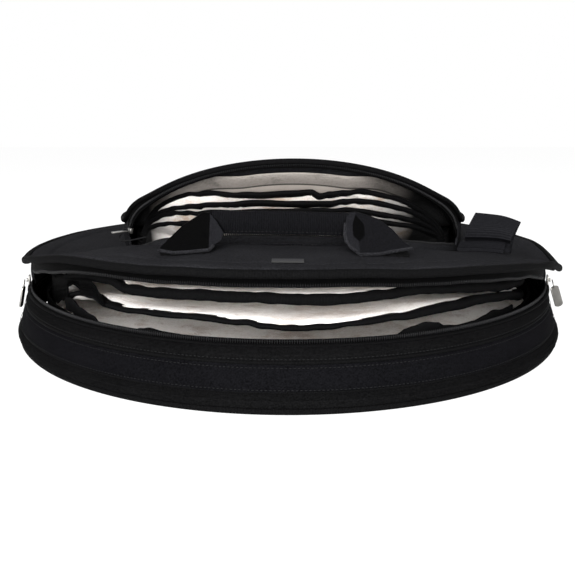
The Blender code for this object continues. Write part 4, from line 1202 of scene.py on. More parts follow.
class BAG_OT_main_lid(bpy.types.Operator):
    """Make the main lid over its fold, with its lining, rim piping, gusset and stitching"""

    bl_idname = "bag.main_lid"
    bl_label = "Main lid"

    def execute(self, context):
        panel = self.add_panel()
        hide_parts("rear_lid_panel", "front_lid_panel", "lid_fold")
        lining = self.add_lining()
        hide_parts("rear_lid_lining", "front_lid_lining")
        piping = self.add_piping()
        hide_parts("rear_lid_piping", "front_lid_piping")
        line = ring_line((0, 0), lambda x, y: lid_rim(math.atan2(y, x)) - TOPSTITCH_INSET, 0, 360, 300,
                         lambda x, y: self.surface(x, y) + 0.0002)
        thread = stitches("lid_topstitch", line)
        for piece in (panel, lining, piping, thread):
            across_main_fold(piece)
        self.add_gusset()
        return {"FINISHED"}

    def surface(self, x, y):
        rim = lid_rim(math.atan2(y, x))
        inside = rim - math.hypot(x, y)
        high = lid_top(x, y)
        high += 0.0011 * ripple(x, y, 0.7, 11) + 0.0005 * ripple(x, y, 3.1, 34)
        high -= 0.0009 * math.exp(-((inside - TOPSTITCH_INSET) / 0.0022) ** 2)
        high += 0.0010 * smooth((TOPSTITCH_INSET - inside) / 0.006) * smooth(inside / 0.008)
        return high

    def add_panel(self):
        shares = [0, 0.12, 0.24, 0.36, 0.46, 0.55, 0.62, 0.68, 0.73, 0.77, 0.80, 0.83, 0.85, 0.87, 0.885,
                  0.90, 0.906, 0.912, 0.917, 0.921, 0.926, 0.932, 0.94, 0.95, 0.96, 0.97, 0.98, 0.988,
                  0.994, 1]
        return round_sheet("lid_cloth", lid_rim, RING_COLUMNS, shares, self.surface, LID_THICKNESS,
                           "bag_cloth", 0.010)

    def add_lining(self):
        return round_sheet("lid_fleece", lambda angle: LID_LINING_RADIUS, 220, even_shares(56),
                           lambda x, y: lid_top(x, y) - LID_THICKNESS - 0.0008,
                           0.0040 + sizes().fleece_depth / 2, "bag_fleece", 0.03)

    def add_piping(self):
        def level(x, y):
            return lid_top(x, y) - LID_THICKNESS / 2 + 0.0003 * ripple(x, y, 1.0, 30)

        frames = ring_frames((0, 0), lambda x, y: lid_rim(math.atan2(y, x)) + 0.0030, 0, 360, 300, level)
        profile = oval(PIPING_RADIUS * 0.95, PIPING_RADIUS * 1.05, 12, squareness=1.2)
        return swept("lid_rim", frames[:-1], profile, "bag_tape", True)

    def add_gusset(self):
        """Upright cloth that closes the rear of the case, up to the ends of the zip."""
        last, first = rear_arc(GUSSET_RADIUS, 0, ZIP_START_Y + 0.002)

        def place(u, v):
            angle = math.radians(last + (first - last) * u)
            x, y = math.cos(angle) * GUSSET_RADIUS, math.sin(angle) * GUSSET_RADIUS
            low = WALL_TOP - 0.0005
            high = lid_top(x, y) - LID_THICKNESS
            swell = 1 + 0.006 * math.sin(math.pi * v)
            radius = swell + 0.0022 * ripple(x, y, v * 0.05, 20)
            return Vector((x * radius, y * radius, low + (high - low) * v))

        gusset = skin("rear_gusset_cloth", 200, 10, place, -0.0028, (0.98, 0.024), "bag_cloth")
        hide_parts("rear_gusset")
        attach(gusset, "bag")


def across_main_fold(piece, body="main_lid", level=FOLD_PIVOT_Z):
    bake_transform(piece)


def behind_pocket_fold(piece):
    """Rear cloth of the pocket, with its place baked into its mesh."""
    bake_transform(piece)


class BAG_OT_main_zip(bpy.types.Operator):
    """Make the main zip: both tapes and rows of teeth, two sliders and their pulls"""

    bl_idname = "bag.main_zip"
    bl_label = "Main zip"

    def execute(self, context):
        self.add_lower_half()
        self.add_upper_half()
        for side, angle in (("left", SLIDER_BEARING - 180), ("right", -SLIDER_BEARING)):
            self.add_slider(side, math.radians(angle))
        return {"FINISHED"}

    def add_lower_half(self):
        arc = front_arc(LOWER_ZIP_RADIUS, ZIP_CENTRE[1], ZIP_START_Y)

        def frames(out, level):
            return ring_frames(ZIP_CENTRE, LOWER_ZIP_RADIUS + out, *arc, 220, lambda x, y: level)

        tape = swept("zip_tape_low", frames(-0.0006, WALL_TOP + 0.0008),
                     [(-0.0007, -0.002), (-0.0007, 0.0044), (0.0004, 0.0044), (0.0010, 0.0005),
                      (0.0030, -0.002)], "bag_dark_tape")
        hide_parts("lower_zip_tape")
        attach(tape, "bag")
        binding = swept("wall_top_binding", frames(0.0022, WALL_TOP + 0.0008), oval(0.0022, 0.0013),
                        "bag_tape")
        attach(binding, "bag")
        teeth = zip_teeth("zip_teeth_low", [point for point, _, _ in frames(0, LOWER_TEETH_LEVEL)])
        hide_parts("lower_zip_teeth")
        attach(teeth, "bag")

    def add_upper_half(self):
        frames = ring_frames(ZIP_CENTRE, UPPER_ZIP_RADIUS,
                             *front_arc(UPPER_ZIP_RADIUS, ZIP_CENTRE[1], ZIP_START_Y), 220,
                             lambda x, y: lid_top(x, y) - LID_THICKNESS - SKIRT_DROP)
        tape = swept("zip_tape_high", frames, [(-0.0006, -0.0030), (-0.0006, SKIRT_DROP + 0.0004),
                                               (0.0008, SKIRT_DROP + 0.0004), (0.0005, -0.0030)],
                     "bag_dark_tape")
        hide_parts("upper_zip_tape")
        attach(tape, "main_lid")
        teeth = zip_teeth("zip_teeth_high", [point + Vector((0, 0, -0.0012)) for point, _, _ in frames])
        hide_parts("upper_zip_teeth")
        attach(teeth, "main_lid")

    def add_slider(self, side, angle):
        """Slider with a bridge on its back, and a flat pull that hangs from it on a wire ring."""
        turn = Matrix.Rotation(angle, 4, "Z")
        outward = turn @ Vector((1, 0, 0))
        middle = Vector((*ZIP_CENTRE, SLIDER_MIDDLE)) + outward * (LOWER_ZIP_RADIUS + 0.0040)
        place = Matrix.Translation(middle) @ turn
        body = boxy("slider_body_" + side, (0.0018, 0.0118, 0.0100),
                    place @ Matrix.Translation((-0.0012, 0, 0)), 0.0006)
        bridge = boxy("slider_bridge_" + side, (0.0022, 0.0066, 0.0030),
                      place @ Matrix.Translation((0.0012, 0, 0)), 0.0009)
        bridge.parent = body
        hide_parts("main_slider_" + side)
        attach(body, "main_slider_" + side)

        hinge = Vector((*ZIP_CENTRE, SLIDER_LEVEL)) + outward * PULL_HINGE_RADIUS
        lean = Matrix.Translation(hinge) @ turn @ Matrix.Rotation(-PULL_TILTS[side], 4, "Y")
        half = [(0.0018, 0.0002), (0.0030, -0.0025), (0.0040, -0.0058), (0.0036, -0.0070),
                (0.0018, -0.0074)]
        ring = [(0, 0.0010), *half, *((-across, down) for across, down in reversed(half))]
        wire = wire_loop("pull_ring_" + side,
                         [lean @ Vector((0, across, down)) for across, down in ring], 0.00055)
        hang = Matrix.Translation((0, 0, -0.0066))
        tag = self.add_tag("pull_tag_" + side,
                           lean @ hang @ Matrix.Rotation(PULL_SWIVELS[side], 4, "Z") @ hang.inverted())
        wire.parent = tag
        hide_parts("main_pull_" + side)
        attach(tag, "main_pull_" + side)

    def add_tag(self, name, lean):
        """Flat pull with rounded ends and a sunk field with nothing in it."""
        long, wide, thick = sizes().pull_length - 0.0052, 0.0050, 0.0009
        field_z = -0.0190
        outline = []
        for middle_z, start in ((-0.0062 - wide * 0.55, 0), (-0.0052 - long + wide * 0.55, 180)):
            for step in range(13):
                turn = math.radians(start + 180 * step / 12)
                outline.append((wide * math.cos(turn), middle_z + wide * 0.55 * math.sin(turn)))
        work, _ = new_work()
        centre_z = sum(z for _, z in outline) / len(outline)
        rings = []
        for out, shrink in ((thick, 0.80), (thick, 0.93), (thick * 0.7, 1.0), (-thick * 0.7, 1.0),
                            (-thick, 0.93), (-thick, 0.80)):
            upright = 1 - (1 - shrink) * 0.35
            ring = [(out, y * shrink, centre_z + (z - centre_z) * upright) for y, z in outline]
            rings.append([work.verts.new(lean @ Vector(point)) for point in ring])
        for near, far in zip(rings, rings[1:]):
            join_rings(work, near, far)
        field = [work.verts.new(lean @ Vector((thick * 0.75, y * 0.70, field_z + (z - field_z) * 0.70)))
                 for y, z in outline]
        join_rings(work, rings[0], field)
        work.faces.new(field)
        work.faces.new(rings[-1])
        return close_work(name, work, "bag_nickel", 30)


def divider_binding(name, path, seed, tall, thickening):
    """Tape folded over a divider's edge, wavy where the fleece bunches under it; thicker at its right."""
    deep = sizes().binding_depth

    def profile(run):
        swell = 1 + 0.20 * ripple(run * 3.0, seed, 0, 12) + 0.10 * ripple(run * 3.0, seed, 4, 31)
        swell += thickening * smooth((run - 0.58) / 0.14)
        sink = 0.0007 * ripple(run * 3.0, seed, 8, 15)
        half = tall / 2 * swell
        back = -deep * (1 + 0.15 * ripple(run * 3.0, seed, 2, 10))
        upper = [(back, half * 0.72), (back * 0.6, half * 0.86), (back * 0.2, half * 0.98),
                 (0.0006, half * 0.80), (0.0018, half * 0.25)]
        return [(out, up + sink) for out, up in mirrored(upper)]

    return swept(name, path, profile, "bag_tape", sharp=60)


def mirrored(upper):
    """A closed profile of an upper half and its mirror image below."""
    return upper + [(out, -up) for out, up in reversed(upper)]


class BAG_OT_main_dividers(bpy.types.Operator):
    """Make the two fleece dividers of the main compartment, with their bound front edges"""

    bl_idname = "bag.main_dividers"
    bl_label = "Main dividers"

    def execute(self, context):
        self.add_divider("upper", *UPPER_DIVIDER, UPPER_EDGE_WAVES, 1.5, 1.25, 0.0018, 0)
        self.add_divider("lower", *LOWER_DIVIDER, LOWER_EDGE_WAVES, 6.5, 0.66, 0, 0.75)
        return {"FINISHED"}

    def add_divider(self, which, level, lift, waves, seed, tallness, sunk, thickening):
        deep = sizes().fleece_depth
        top = level + DIVIDER_THICKNESS / 2

        def rise(x, y):
            """How far the sheet stands off its plain flat layout."""
            around = math.degrees(math.atan2(y, x))
            reach = math.hypot(x, y) / DIVIDER_RADIUS
            ahead = smooth((FOLD_Y - y) / 0.05)
            edge = between(waves, around) if around < 0 else 0
            return ahead * (edge * reach ** 4 + 0.0016 * ripple(x, y, seed, 14))

        def surface(x, y):
            return top + rise(x, y) + deep * ripple(x, y, seed, 130)

        def bend(point):
            return bend_up(point, level, lift)

        sheet = round_sheet(which + "_divider_fleece", lambda angle: DIVIDER_RADIUS - 0.001, 300,
                            even_shares(72), surface, DIVIDER_THICKNESS, "bag_fleece", 0.02, bend)
        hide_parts(f"main_divider_{which}_rear", f"main_divider_{which}_front")
        path = ring_frames((0, 0), DIVIDER_RADIUS, *front_arc(DIVIDER_RADIUS, 0, FOLD_Y - 0.008), 300,
                           lambda x, y: level - sunk + rise(x, y), bend)
        binding = divider_binding(which + "_divider_binding", path, seed, sizes().binding_height * tallness,
                                  thickening)
        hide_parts(f"main_divider_{which}_binding")
        for piece in (sheet, binding):
            across_main_fold(piece, "main_divider_" + which, level)


class BAG_OT_pocket(bpy.types.Operator):
    """Make the pocket on the lid: wall, top, lining, zip band, teeth, piping and slider"""

    bl_idname = "bag.pocket"
    bl_label = "Lid pocket"

    def execute(self, context):
        self.add_top()
        self.add_walls()
        self.add_zip()
        self.add_slider()
        return {"FINISHED"}

    def add_top(self):
        def surface(x, y, share):
            crown = 0.0035 * (1 - share ** 2)
            return POCKET_LEVEL + crown + pocket_swell(x, y, share) + 0.0010 * ripple(x, y, 4.4, 13)

        def underside(x, y, share):
            return POCKET_LEVEL - POCKET_PANEL - 0.0004 + pocket_swell(x, y, share * 0.92)

        for place, front, arc, nodes in (
                ("rear", False, rear_arc, ("pocket_panel_rear", "pocket_fold")),
                ("front", True, front_arc, ("pocket_panel_front",))):
            panel = half_sheet("pocket_top_" + place, POCKET_RADIUS, front, surface, POCKET_PANEL,
                               "bag_cloth", pocket_bend)
            lining = half_sheet("pocket_lining_cloth_" + place, POCKET_RADIUS - POCKET_LINING_INSET, front,
                                underside, 0.0036 + sizes().fleece_depth / 2, "bag_pocket_lining",
                                pocket_bend)
            frames = ring_frames(POCKET_CENTRE, POCKET_RADIUS + 0.0022,
                                 *arc(POCKET_RADIUS, POCKET_CENTRE[1], FOLD_Y), 180,
                                 lambda x, y: POCKET_LEVEL - POCKET_PANEL / 2, pocket_bend)
            piping = swept("pocket_rim_" + place, frames, oval(0.0026, 0.0029), "bag_tape")
            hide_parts(*nodes)
            if front:
                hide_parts("pocket_lining_front")
            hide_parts("pocket_piping_" + place)
            for piece in (panel, lining, piping):
                self.hang(piece, front)

    def hang(self, piece, front):
        if front:
            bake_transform(piece)
        else:
            behind_pocket_fold(piece)

    def add_walls(self):
        first, last = rear_arc(POCKET_RADIUS, POCKET_CENTRE[1], FOLD_Y)

        def rear(u, v):
            x, y, outward = pocket_round(math.radians(first + (last - first) * u))
            low = lid_top(x, y) - 0.0004
            high = POCKET_LEVEL - POCKET_PANEL + 0.0004
            swell = 0.0016 * math.sin(math.pi * min(max(v, 0), 1)) + 0.0009 * ripple(x, y, v * 0.06, 22)
            return wall_bend(Vector((x, y, low + (high - low) * v)) + outward * swell)

        wall = skin("pocket_wall_cloth_rear", 180, 14, rear, -POCKET_WALL, (0.76, 0.034), "bag_cloth")
        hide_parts("pocket_wall_rear")
        behind_pocket_fold(wall)

        start, end = front_arc(POCKET_RADIUS, POCKET_CENTRE[1], FOLD_Y)

        def front(u, v):
            x, y, outward = pocket_round(math.radians(start + (end - start) * u))
            low = lid_top(x, y) - 0.0004
            high = lip_of(x, y)
            lean = -0.0016 * v + 0.0007 * ripple(x, y, v * 0.02, 35)
            return Vector((x, y, low + (high - low) * v)) + outward * lean

        lip = skin("pocket_wall_cloth_front", 180, 8, front, -POCKET_WALL, (0.51, 0.010), "bag_cloth")
        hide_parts("pocket_wall_front")
        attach(lip, "main_lid")
        frames = ring_frames(POCKET_CENTRE, POCKET_RADIUS - 0.0028, start, end, 180,
                             lambda x, y: lip_of(x, y) + 0.0006)
        # Painted highlight: the lip's binding is drawn in the paler thread colour
        edge = swept("pocket_lip_binding", frames, oval(0.0019, 0.0010, 8), "bag_thread")
        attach(edge, "main_lid")
        self.add_lip_end()
        line = ring_line(POCKET_CENTRE, POCKET_RADIUS + 0.0046, start, end, 200,
                         lambda x, y: lid_top(x, y) + 0.0018)
        thread = stitches("pocket_foot_stitches", line)
        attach(thread, "main_lid")

    def add_lip_end(self):
        """End of the low wall's bound edge, which turns back over itself at the slider, drawn in the paler
        thread colour as a painted highlight.
        """
        frames = []
        for point, ahead in along_line(LIP_END):
            up = Vector((0, 0, 1)) if abs(ahead.normalized().z) < 0.8 else Vector((1, 0, 0))
            out = ahead.cross(up).normalized()
            frames.append((point, out, ahead.cross(out).normalized()))
        end = swept("pocket_lip_end", frames, oval(0.0008, 0.0008, 8), "bag_thread")
        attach(end, "main_lid")

    def band_depth(self, y):
        front = POCKET_CENTRE[1] - POCKET_RADIUS
        return POCKET_BAND_FRONT + POCKET_BAND_GROWTH * max((y - front) / (FOLD_Y - front), 0) ** 2

    def add_zip(self):
        """Band under the raised top with its teeth, and the teeth on the low front wall."""
        start, end = front_arc(POCKET_RADIUS, POCKET_CENTRE[1], FOLD_Y)

        def place(u, v):
            x, y, outward = pocket_round(math.radians(start + (end - start) * u))
            drop = POCKET_PANEL - 0.0004 + (self.band_depth(y) - POCKET_PANEL) * (1 - v)
            lean = 0.0006 * ripple(x, y, v * 0.03, 30) - 0.0014 * (1 - v)
            return wall_bend(Vector((x, y, POCKET_LEVEL - drop)) + outward * lean)

        band = skin("pocket_band", 180, 8, place, -0.0014, (0.456, 0.0152), "bag_dark_tape")
        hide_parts("pocket_zip_band")
        self.hang(band, True)
        line = ring_line(POCKET_CENTRE, POCKET_RADIUS + 0.0006, start + 1.5, end - 1.5, 200,
                         lambda x, y: POCKET_LEVEL - self.band_depth(y) * 0.70, wall_bend)
        teeth = zip_teeth("pocket_teeth_high", line, (0.0010, 0.0028, 0.0030))
        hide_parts("pocket_zip_teeth_upper")
        self.hang(teeth, True)
        line = ring_line(POCKET_CENTRE, POCKET_RADIUS - 0.0030, start + 1.5, end - 1.5, 200,
                         lambda x, y: lip_of(x, y) + 0.0022)
        teeth = zip_teeth("pocket_teeth_low", line, (0.0011, 0.0030, 0.0022))
        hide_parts("pocket_zip_teeth_lower")
        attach(teeth, "main_lid")

    def add_slider(self):
        """Slider at the left end of the open zip, and its pull lying beside it."""
        middle = middle_of("pocket_slider") + Vector((0.001, 0, 0.0150))
        turn = Matrix.Rotation(math.atan2(middle.y - POCKET_CENTRE[1], middle.x - POCKET_CENTRE[0]), 4, "Z")
        body = boxy("pocket_slider_body", (0.0036, 0.0088, 0.0058), Matrix.Translation(middle) @ turn,
                    0.0009)
        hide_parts("pocket_slider")
        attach(body, "main_lid")
        middle = middle_of("pocket_pull") + Vector((0.004, -0.002, 0.0175))
        lay = Matrix.Translation(middle) @ turn @ Matrix.Rotation(-math.radians(88), 4, "Y")
        pull = boxy("pocket_pull_tag", (0.0013, 0.0068, 0.0180), lay, 0.0006)
        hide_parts("pocket_pull")
        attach(pull, "main_lid")


def middle_of(node):
    low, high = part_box(node)
    return (Vector(low) + Vector(high)) / 2


class BAG_OT_pocket_dividers(bpy.types.Operator):
    """Make the pocket's four fleece dividers, fanned out, with their bindings"""

    bl_idname = "bag.pocket_dividers"
    bl_label = "Pocket dividers"

    def execute(self, context):
        for number, divider in enumerate(POCKET_DIVIDERS):
            self.add_divider(*divider, 2.5 + 3 * number)
        return {"FINISHED"}

    def add_divider(self, which, top, lift, waves, shown, seed):
        deep = sizes().fleece_depth
        radius = POCKET_DIVIDER_RADIUS

        def rise(x, y):
            east, north = x - POCKET_CENTRE[0], y - POCKET_CENTRE[1]
            edge = between(waves, math.degrees(math.atan2(north, east))) if north < 0 else 0
            reach = min(math.hypot(east, north) / radius, 1)
            edge *= shown * reach ** 4 * smooth((FOLD_Y - y) / 0.02)
            return edge + 0.0011 * ripple(x, y, seed, 22) * smooth((FOLD_Y - y) / 0.05)

        def bend(point):
            return bend_up(point, top, lift, 0.012)

        def ride_fold(piece):
            "pocket_divider_" + which
            top + 0.003
            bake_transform(piece)

        for place, front, follow in (("rear", False, behind_pocket_fold), ("front", True, ride_fold)):
            sheet = half_sheet(f"pocket_divider_{which}_fleece_{place}", radius - 0.001, front,
                               lambda x, y, share: top + rise(x, y) + deep * ripple(x, y, seed, 130) * 0.6,
                               POCKET_DIVIDER_THICKNESS, "bag_pocket_fleece", bend, 150, 44, 0.03)
            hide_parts(f"pocket_divider_{which}_{place}")
            follow(sheet)
        middle = top - POCKET_DIVIDER_THICKNESS / 2
        path = ring_frames(POCKET_CENTRE, radius, *front_arc(radius, POCKET_CENTRE[1], FOLD_Y - 0.006), 220,
                           lambda x, y: middle + rise(x, y), bend)
        binding = self.add_binding(f"pocket_divider_{which}_edge", path, seed)
        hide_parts(f"pocket_divider_{which}_binding")
        ride_fold(binding)

    def add_binding(self, name, path, seed):
        def profile(run):
            half = 0.0021 * (1 + 0.18 * ripple(run * 2.0, seed, 0, 12))
            back = -0.0075 * (1 + 0.12 * ripple(run * 2.0, seed, 2, 10))
            return mirrored([(back, half * 0.80), (back * 0.5, half * 0.92), (0.0002, half),
                             (0.0014, half * 0.4)])

        return swept(name, path, profile, "bag_tape", sharp=60)


class BAG_OT_handle(bpy.types.Operator):
    """Make the webbing handle, folded flat at its feet and doubled into a grip, and its sewn anchors"""

    bl_idname = "bag.handle"
    bl_label = "Carrying handle"

    def execute(self, context):
        strap = self.add_strap()
        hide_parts("handle_strap")
        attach(strap, "handle")
        thread = self.add_grip_stitches()
        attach(thread, "handle")
        for side, leg in (("left", LEFT_LEG), ("right", RIGHT_LEG)):
            for piece in self.add_leg(side, *leg):
                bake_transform(piece)
        for side, x, shift in zip(("left", "right"), HANDLE_FEET_X, (0.0050, 0.0025)):
            anchor = self.add_anchor("handle_foot_" + side, x + shift)
            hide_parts("handle_anchor_" + side)
            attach(anchor, "main_lid")
        return {"FINISHED"}

    def add_strap(self):
        """The grip: webbing turned on edge and creased where it folds down to the legs."""
        count, steps = 120, 12
        rows, flat = [], []
        run = 0.0
        last = None
        for number in range(count + 1):
            share = HANDLE_LEG / 2 + (1 - HANDLE_LEG) * number / count
            centre, half, turned = handle_frame(share)
            run += (centre - last).length if last else 0
            last = centre
            ahead = handle_frame(min(share + 0.004, 1))[0] - handle_frame(max(share - 0.004, 0))[0]
            face = ahead.cross(half.normalized()).normalized()
            if face.z < face.y:
                face = -face
            thick = 0.0012 + 0.0011 * turned
            bulge = 0.0016 * turned
            fold = 0.0080 * math.sin(math.pi * turned)
            ring, places = [], []
            for way, start in ((1, 0), (-1, 0.1)):
                for step in range(steps):
                    across = way * (1 - 2 * step / (steps - 1))
                    swell = thick + way * bulge * (1 - across * across) * (way > 0)
                    out = swell - way * fold * (1 - abs(across))
                    ring.append(centre + half * across + face * (way * out))
                    places.append(across * half.length + start)
            rows.append(ring)
            flat.append([(run, place) for place in [*places, places[0]]])
        return tube("handle_webbing", rows, flat, "bag_webbing", False, 45)

    def add_leg(self, side, outline, tuck, flaps):
        """Webbing folded down from the grip to its foot: two flaps, their tuck and a rolled edge, with a
        dark patch of painted shade over the tuck and a paler patch of painted light over the turned flap.
        """
        work, _ = new_work()
        front = [work.verts.new(point) for point in outline + tuck]
        back = [work.verts.new((x, y + LEG_THICKNESS, z)) for x, y, z in outline]
        middle = sum((Vector(point) for point in tuck), Vector()) / len(tuck)
        deep = work.verts.new(middle + Vector((0, LEG_TUCK, 0)))
        faces = [work.faces.new([front[corner] for corner in flap]) for flap in flaps]
        around = front[len(outline):]
        for near, far in zip(around, around[1:] + around[:1]):
            work.faces.new([near, far, deep])
        join_rings(work, front[:len(outline)], back)
        faces.append(work.faces.new(back))
        leg = self.close_flaps("handle_leg_" + side, work, faces, LEG_LOOKS[side])
        # Painted shade: a near-black patch over the tuck
        shade = self.add_patch("handle_tuck_" + side, tuck, -0.0016, "bag_fold")
        # Painted light: a paler patch over the turned flap
        facet = self.add_patch("handle_facet_" + side, [(outline + tuck)[corner] for corner in flaps[1]],
                               -0.0006, "bag_tab_webbing")
        out = Vector((0, -1, 0))
        frames = [(point, out, ahead.cross(out).normalized())
                  for point, ahead in along_line(outline[:LEG_HEM_CORNERS[side]])]
        edge = swept("handle_hem_" + side, frames, oval(0.0013, 0.0016, 8), "bag_cloth")
        return leg, shade, facet, edge

    def add_patch(self, name, corners, ahead, look):
        """Flat patch, half a millimetre thick, that stands just ahead of the leg; it paints shade over the
        tuck and light over the turned flap.
        """
        work, _ = new_work()
        front = [work.verts.new(Vector(point) + Vector((0, ahead, 0))) for point in corners]
        back = [work.verts.new(Vector(point) + Vector((0, ahead + 0.0005, 0))) for point in corners]
        faces = [work.faces.new(front), work.faces.new(back[::-1])]
        join_rings(work, back, front)
        return self.close_flaps(name, work, faces, look)

    def close_flaps(self, name, work, faces, look):
        bmesh.ops.triangulate(work, faces=faces)
        bmesh.ops.recalc_face_normals(work, faces=work.faces)
        return close_work(name, work, look, 35)

    def add_grip_stitches(self):
        line = []
        for number in range(80):
            centre, half, _ = handle_frame(0.245 + 0.51 * number / 79)
            line.append(centre - half * 0.78 * (1 if half.z > 0 else -1) + Vector((0, -0.0034, 0)))
        return stitches("grip_stitches", line)

    def add_anchor(self, name, x):
        """Flat end of the webbing sewn to the lid under the strap's foot."""
        def place(u, v):
            across = x + ANCHOR_WIDTH * (u - 0.5)
            y = LEG_FOOT_Y + 0.0040 + ANCHOR_LENGTH * v
            return Vector((across, y, lid_top(across, y) + 0.0002 + WEBBING_THICKNESS))

        return skin(name, 14, 20, place, WEBBING_THICKNESS + 0.0005, (ANCHOR_WIDTH, ANCHOR_LENGTH),
                    "bag_tape")


class BAG_OT_strap_tab(bpy.types.Operator):
    """Make the webbing tab at the right of the pocket, with its sewn patch"""

    bl_idname = "bag.strap_tab"
    bl_label = "Strap tab"

    def execute(self, context):
        turn = Matrix.Rotation(TAB_TURN, 4, "Z")

        def on_lid(aside, back, high):
            """A point at a place in the tab's own directions, so high over the lid."""
            flat = turn @ Vector((aside, back, 0))
            x, y = TAB_PLACE[0] + flat.x, TAB_PLACE[1] + flat.y
            return Vector((x, y, lid_top(x, y) + 0.0018 + high))

        def patch(u, v):
            return on_lid(WEBBING_WIDTH * (u - 0.5) - 0.0080, TAB_LENGTH * (v - 0.5) + 0.004,
                          WEBBING_THICKNESS + 0.0080 * smooth(v * 1.4))

        sewn = skin("tab_patch", 14, 10, patch, WEBBING_THICKNESS + 0.0009, (WEBBING_WIDTH, TAB_LENGTH),
                    "bag_tab_webbing")
        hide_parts("strap_tab_patch")
        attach(sewn, "main_lid")

        def loop(u, v):
            """The standing loop, whose front face bellies out over the patch."""
            angle = math.pi * v
            risen = math.sin(angle) ** 0.55
            belly = TAB_BELLY * smooth((risen - 0.22) / 0.14) * (1 - smooth((risen - 0.55) / 0.40))
            back = TAB_LENGTH / 2 + 0.009 * (1 - math.cos(angle)) + 0.0025 - (belly if v < 0.5 else 0)
            aside = 0.0085 * math.sin(angle) - 0.0045
            tilt = 0.0045 * (0.5 - u) * math.sin(angle)
            return on_lid(WEBBING_WIDTH * (u - 0.5) + aside, back, TAB_HEIGHT * risen + tilt)

        arch = skin("tab_loop", 14, 40, loop, WEBBING_THICKNESS, (WEBBING_WIDTH, 0.070), "bag_tab_webbing")
        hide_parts("strap_tab_loop")
        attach(arch, "main_lid")
        return {"FINISHED"}


class BAG_OT_label(bpy.types.Operator):
    """Make the small woven label, bare of lettering, sewn in front of the handle"""

    bl_idname = "bag.label"
    bl_label = "Woven label"

    def execute(self, context):
        def place(u, v):
            x = LABEL_PLACE[0] + LABEL_SIZE[0] * (u - 0.5)
            y = LABEL_PLACE[1] + LABEL_SIZE[1] * (v - 0.5)
            return Vector((x, y, lid_top(x, y) + 0.0014 + 0.0004 * math.sin(math.pi * v)))

        label = skin("label_cloth", 20, 8, place, 0.0012, LABEL_SIZE, "bag_label")
        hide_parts("woven_label")
        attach(label, "main_lid")
        return {"FINISHED"}


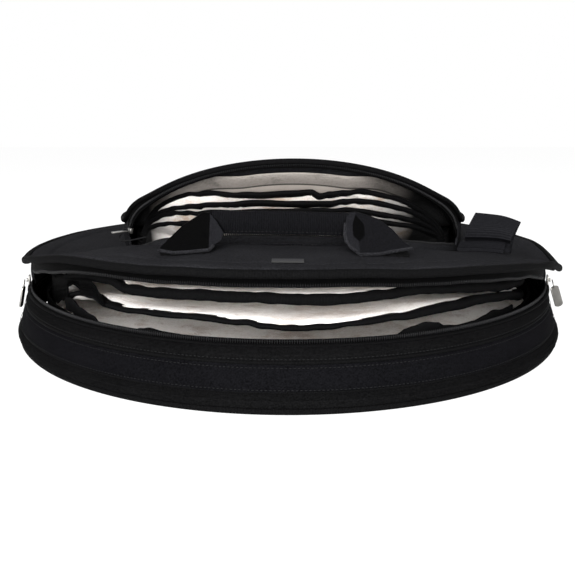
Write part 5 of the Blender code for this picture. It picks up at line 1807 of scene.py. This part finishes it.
class BAG_OT_stage(bpy.types.Operator):
    """Make the pale floor, the soft studio light and the camera"""

    bl_idname = "bag.stage"
    bl_label = "Stage"

    def execute(self, context):
        self.add_floor()
        self.add_world(context.scene)
        for lamp in LAMPS:
            self.add_lamp(*lamp)
        camera = bpy.data.objects.new("camera", bpy.data.cameras.new("camera"))
        camera.data.sensor_width = SENSOR_WIDTH
        camera.data.lens = SENSOR_WIDTH * CAMERA_FOCUS / PICTURE_SIDE
        camera.data.shift_x = -1 / PICTURE_SIDE
        camera.data.shift_y = 0.5 / PICTURE_SIDE
        camera.location = CAMERA_PLACE
        camera.rotation_euler = (math.pi / 2 - CAMERA_TILT, 0, 0)
        context.scene.collection.objects.link(camera)
        context.scene.camera = camera
        context.scene.view_settings.view_transform = "Standard"
        return {"FINISHED"}

    def add_floor(self):
        data = bpy.data.meshes.new("floor")
        corners = [(x * FLOOR_SIDE, y * FLOOR_SIDE, 0) for x, y in ((-1, -1), (1, -1), (1, 1), (-1, 1))]
        data.from_pydata(corners, [], [(0, 1, 2, 3)])
        floor = bpy.data.objects.new("floor", data)
        bpy.context.scene.collection.objects.link(floor)
        look = Look("pale_floor")
        look.set("Base Color", (0.9, 0.9, 0.9, 1))
        look.set("Roughness", 0.9)
        path = look.tree.nodes.new("ShaderNodeLightPath")
        seen = Wire(look, path.outputs["Is Camera Ray"])
        glow = look.tree.nodes.new("ShaderNodeEmission")
        glow.inputs["Color"].default_value = (1, 1, 1, 1)
        glow.inputs["Strength"].default_value = FLOOR_GLOW
        mix = look.tree.nodes.new("ShaderNodeMixShader")
        look.feed(mix.inputs[0], seen * 0.85)
        look.tree.links.new(look.shader.outputs[0], mix.inputs[1])
        look.tree.links.new(glow.outputs[0], mix.inputs[2])
        look.tree.links.new(mix.outputs[0], look.tree.nodes["Material Output"].inputs["Surface"])
        data.materials.append(look.material)

    def add_world(self, scene):
        world = bpy.data.worlds.new("studio")
        world.use_nodes = True
        scene.world = world
        nodes, links = world.node_tree.nodes, world.node_tree.links
        nodes.clear()
        path = nodes.new("ShaderNodeLightPath")
        seen = path.outputs["Is Camera Ray"]
        for kind in ("Is Glossy Ray", "Is Transmission Ray"):
            either = nodes.new("ShaderNodeMath")
            either.operation = "MAXIMUM"
            links.new(seen, either.inputs[0])
            links.new(path.outputs[kind], either.inputs[1])
            seen = either.outputs[0]
        mix = nodes.new("ShaderNodeMixShader")
        leave = nodes.new("ShaderNodeOutputWorld")
        links.new(seen, mix.inputs[0])
        for place, strength in ((1, STUDIO_LIGHT), (2, 1.0)):
            light = nodes.new("ShaderNodeBackground")
            light.inputs["Color"].default_value = (1, 1, 1, 1)
            light.inputs["Strength"].default_value = strength
            links.new(light.outputs[0], mix.inputs[place])
        links.new(mix.outputs[0], leave.inputs[0])

    def add_lamp(self, name, place, size, power):
        lamp = bpy.data.lights.new(name, "AREA")
        lamp.shape = "DISK"
        lamp.size = size
        lamp.energy = power
        holder = bpy.data.objects.new(name, lamp)
        holder.location = place
        aim = Vector((0, -0.05, 0.05)) - Vector(place)
        holder.rotation_euler = aim.to_track_quat("-Z", "Y").to_euler()
        bpy.context.scene.collection.objects.link(holder)


OPERATORS = (BAG_OT_stage, BAG_OT_base_and_wall, BAG_OT_main_lid, BAG_OT_main_zip, BAG_OT_main_dividers,
             BAG_OT_pocket, BAG_OT_pocket_dividers, BAG_OT_handle, BAG_OT_strap_tab, BAG_OT_label)


class BAG_PT_panel(bpy.types.Panel):
    """Sizes, colours and one button for each group of pieces"""

    bl_label = "Cymbal bag"
    bl_idname = "BAG_PT_panel"
    bl_space_type = "VIEW_3D"
    bl_region_type = "UI"
    bl_category = "Bag"

    def draw(self, context):
        layout = self.layout
        for group in (context.scene.bag_sizes, context.scene.bag_colours):
            for name in group.bl_rna.properties.keys():
                if name not in ("rna_type", "name"):
                    layout.prop(group, name)
        for operator in OPERATORS:
            layout.operator(operator.bl_idname)


CLASSES = (BagSizes, BagColours, *OPERATORS, BAG_PT_panel)


def register():
    for cls in CLASSES:
        bpy.utils.register_class(cls)
    bpy.types.Scene.bag_sizes = PointerProperty(type=BagSizes)
    bpy.types.Scene.bag_colours = PointerProperty(type=BagColours)


def unregister():
    del bpy.types.Scene.bag_colours
    del bpy.types.Scene.bag_sizes
    for cls in reversed(CLASSES):
        bpy.utils.unregister_class(cls)


def main():
    register()
    for operator in OPERATORS:
        group, name = operator.bl_idname.split(".")
        getattr(getattr(bpy.ops, group), name)()


if __name__ == "__main__":
    main()
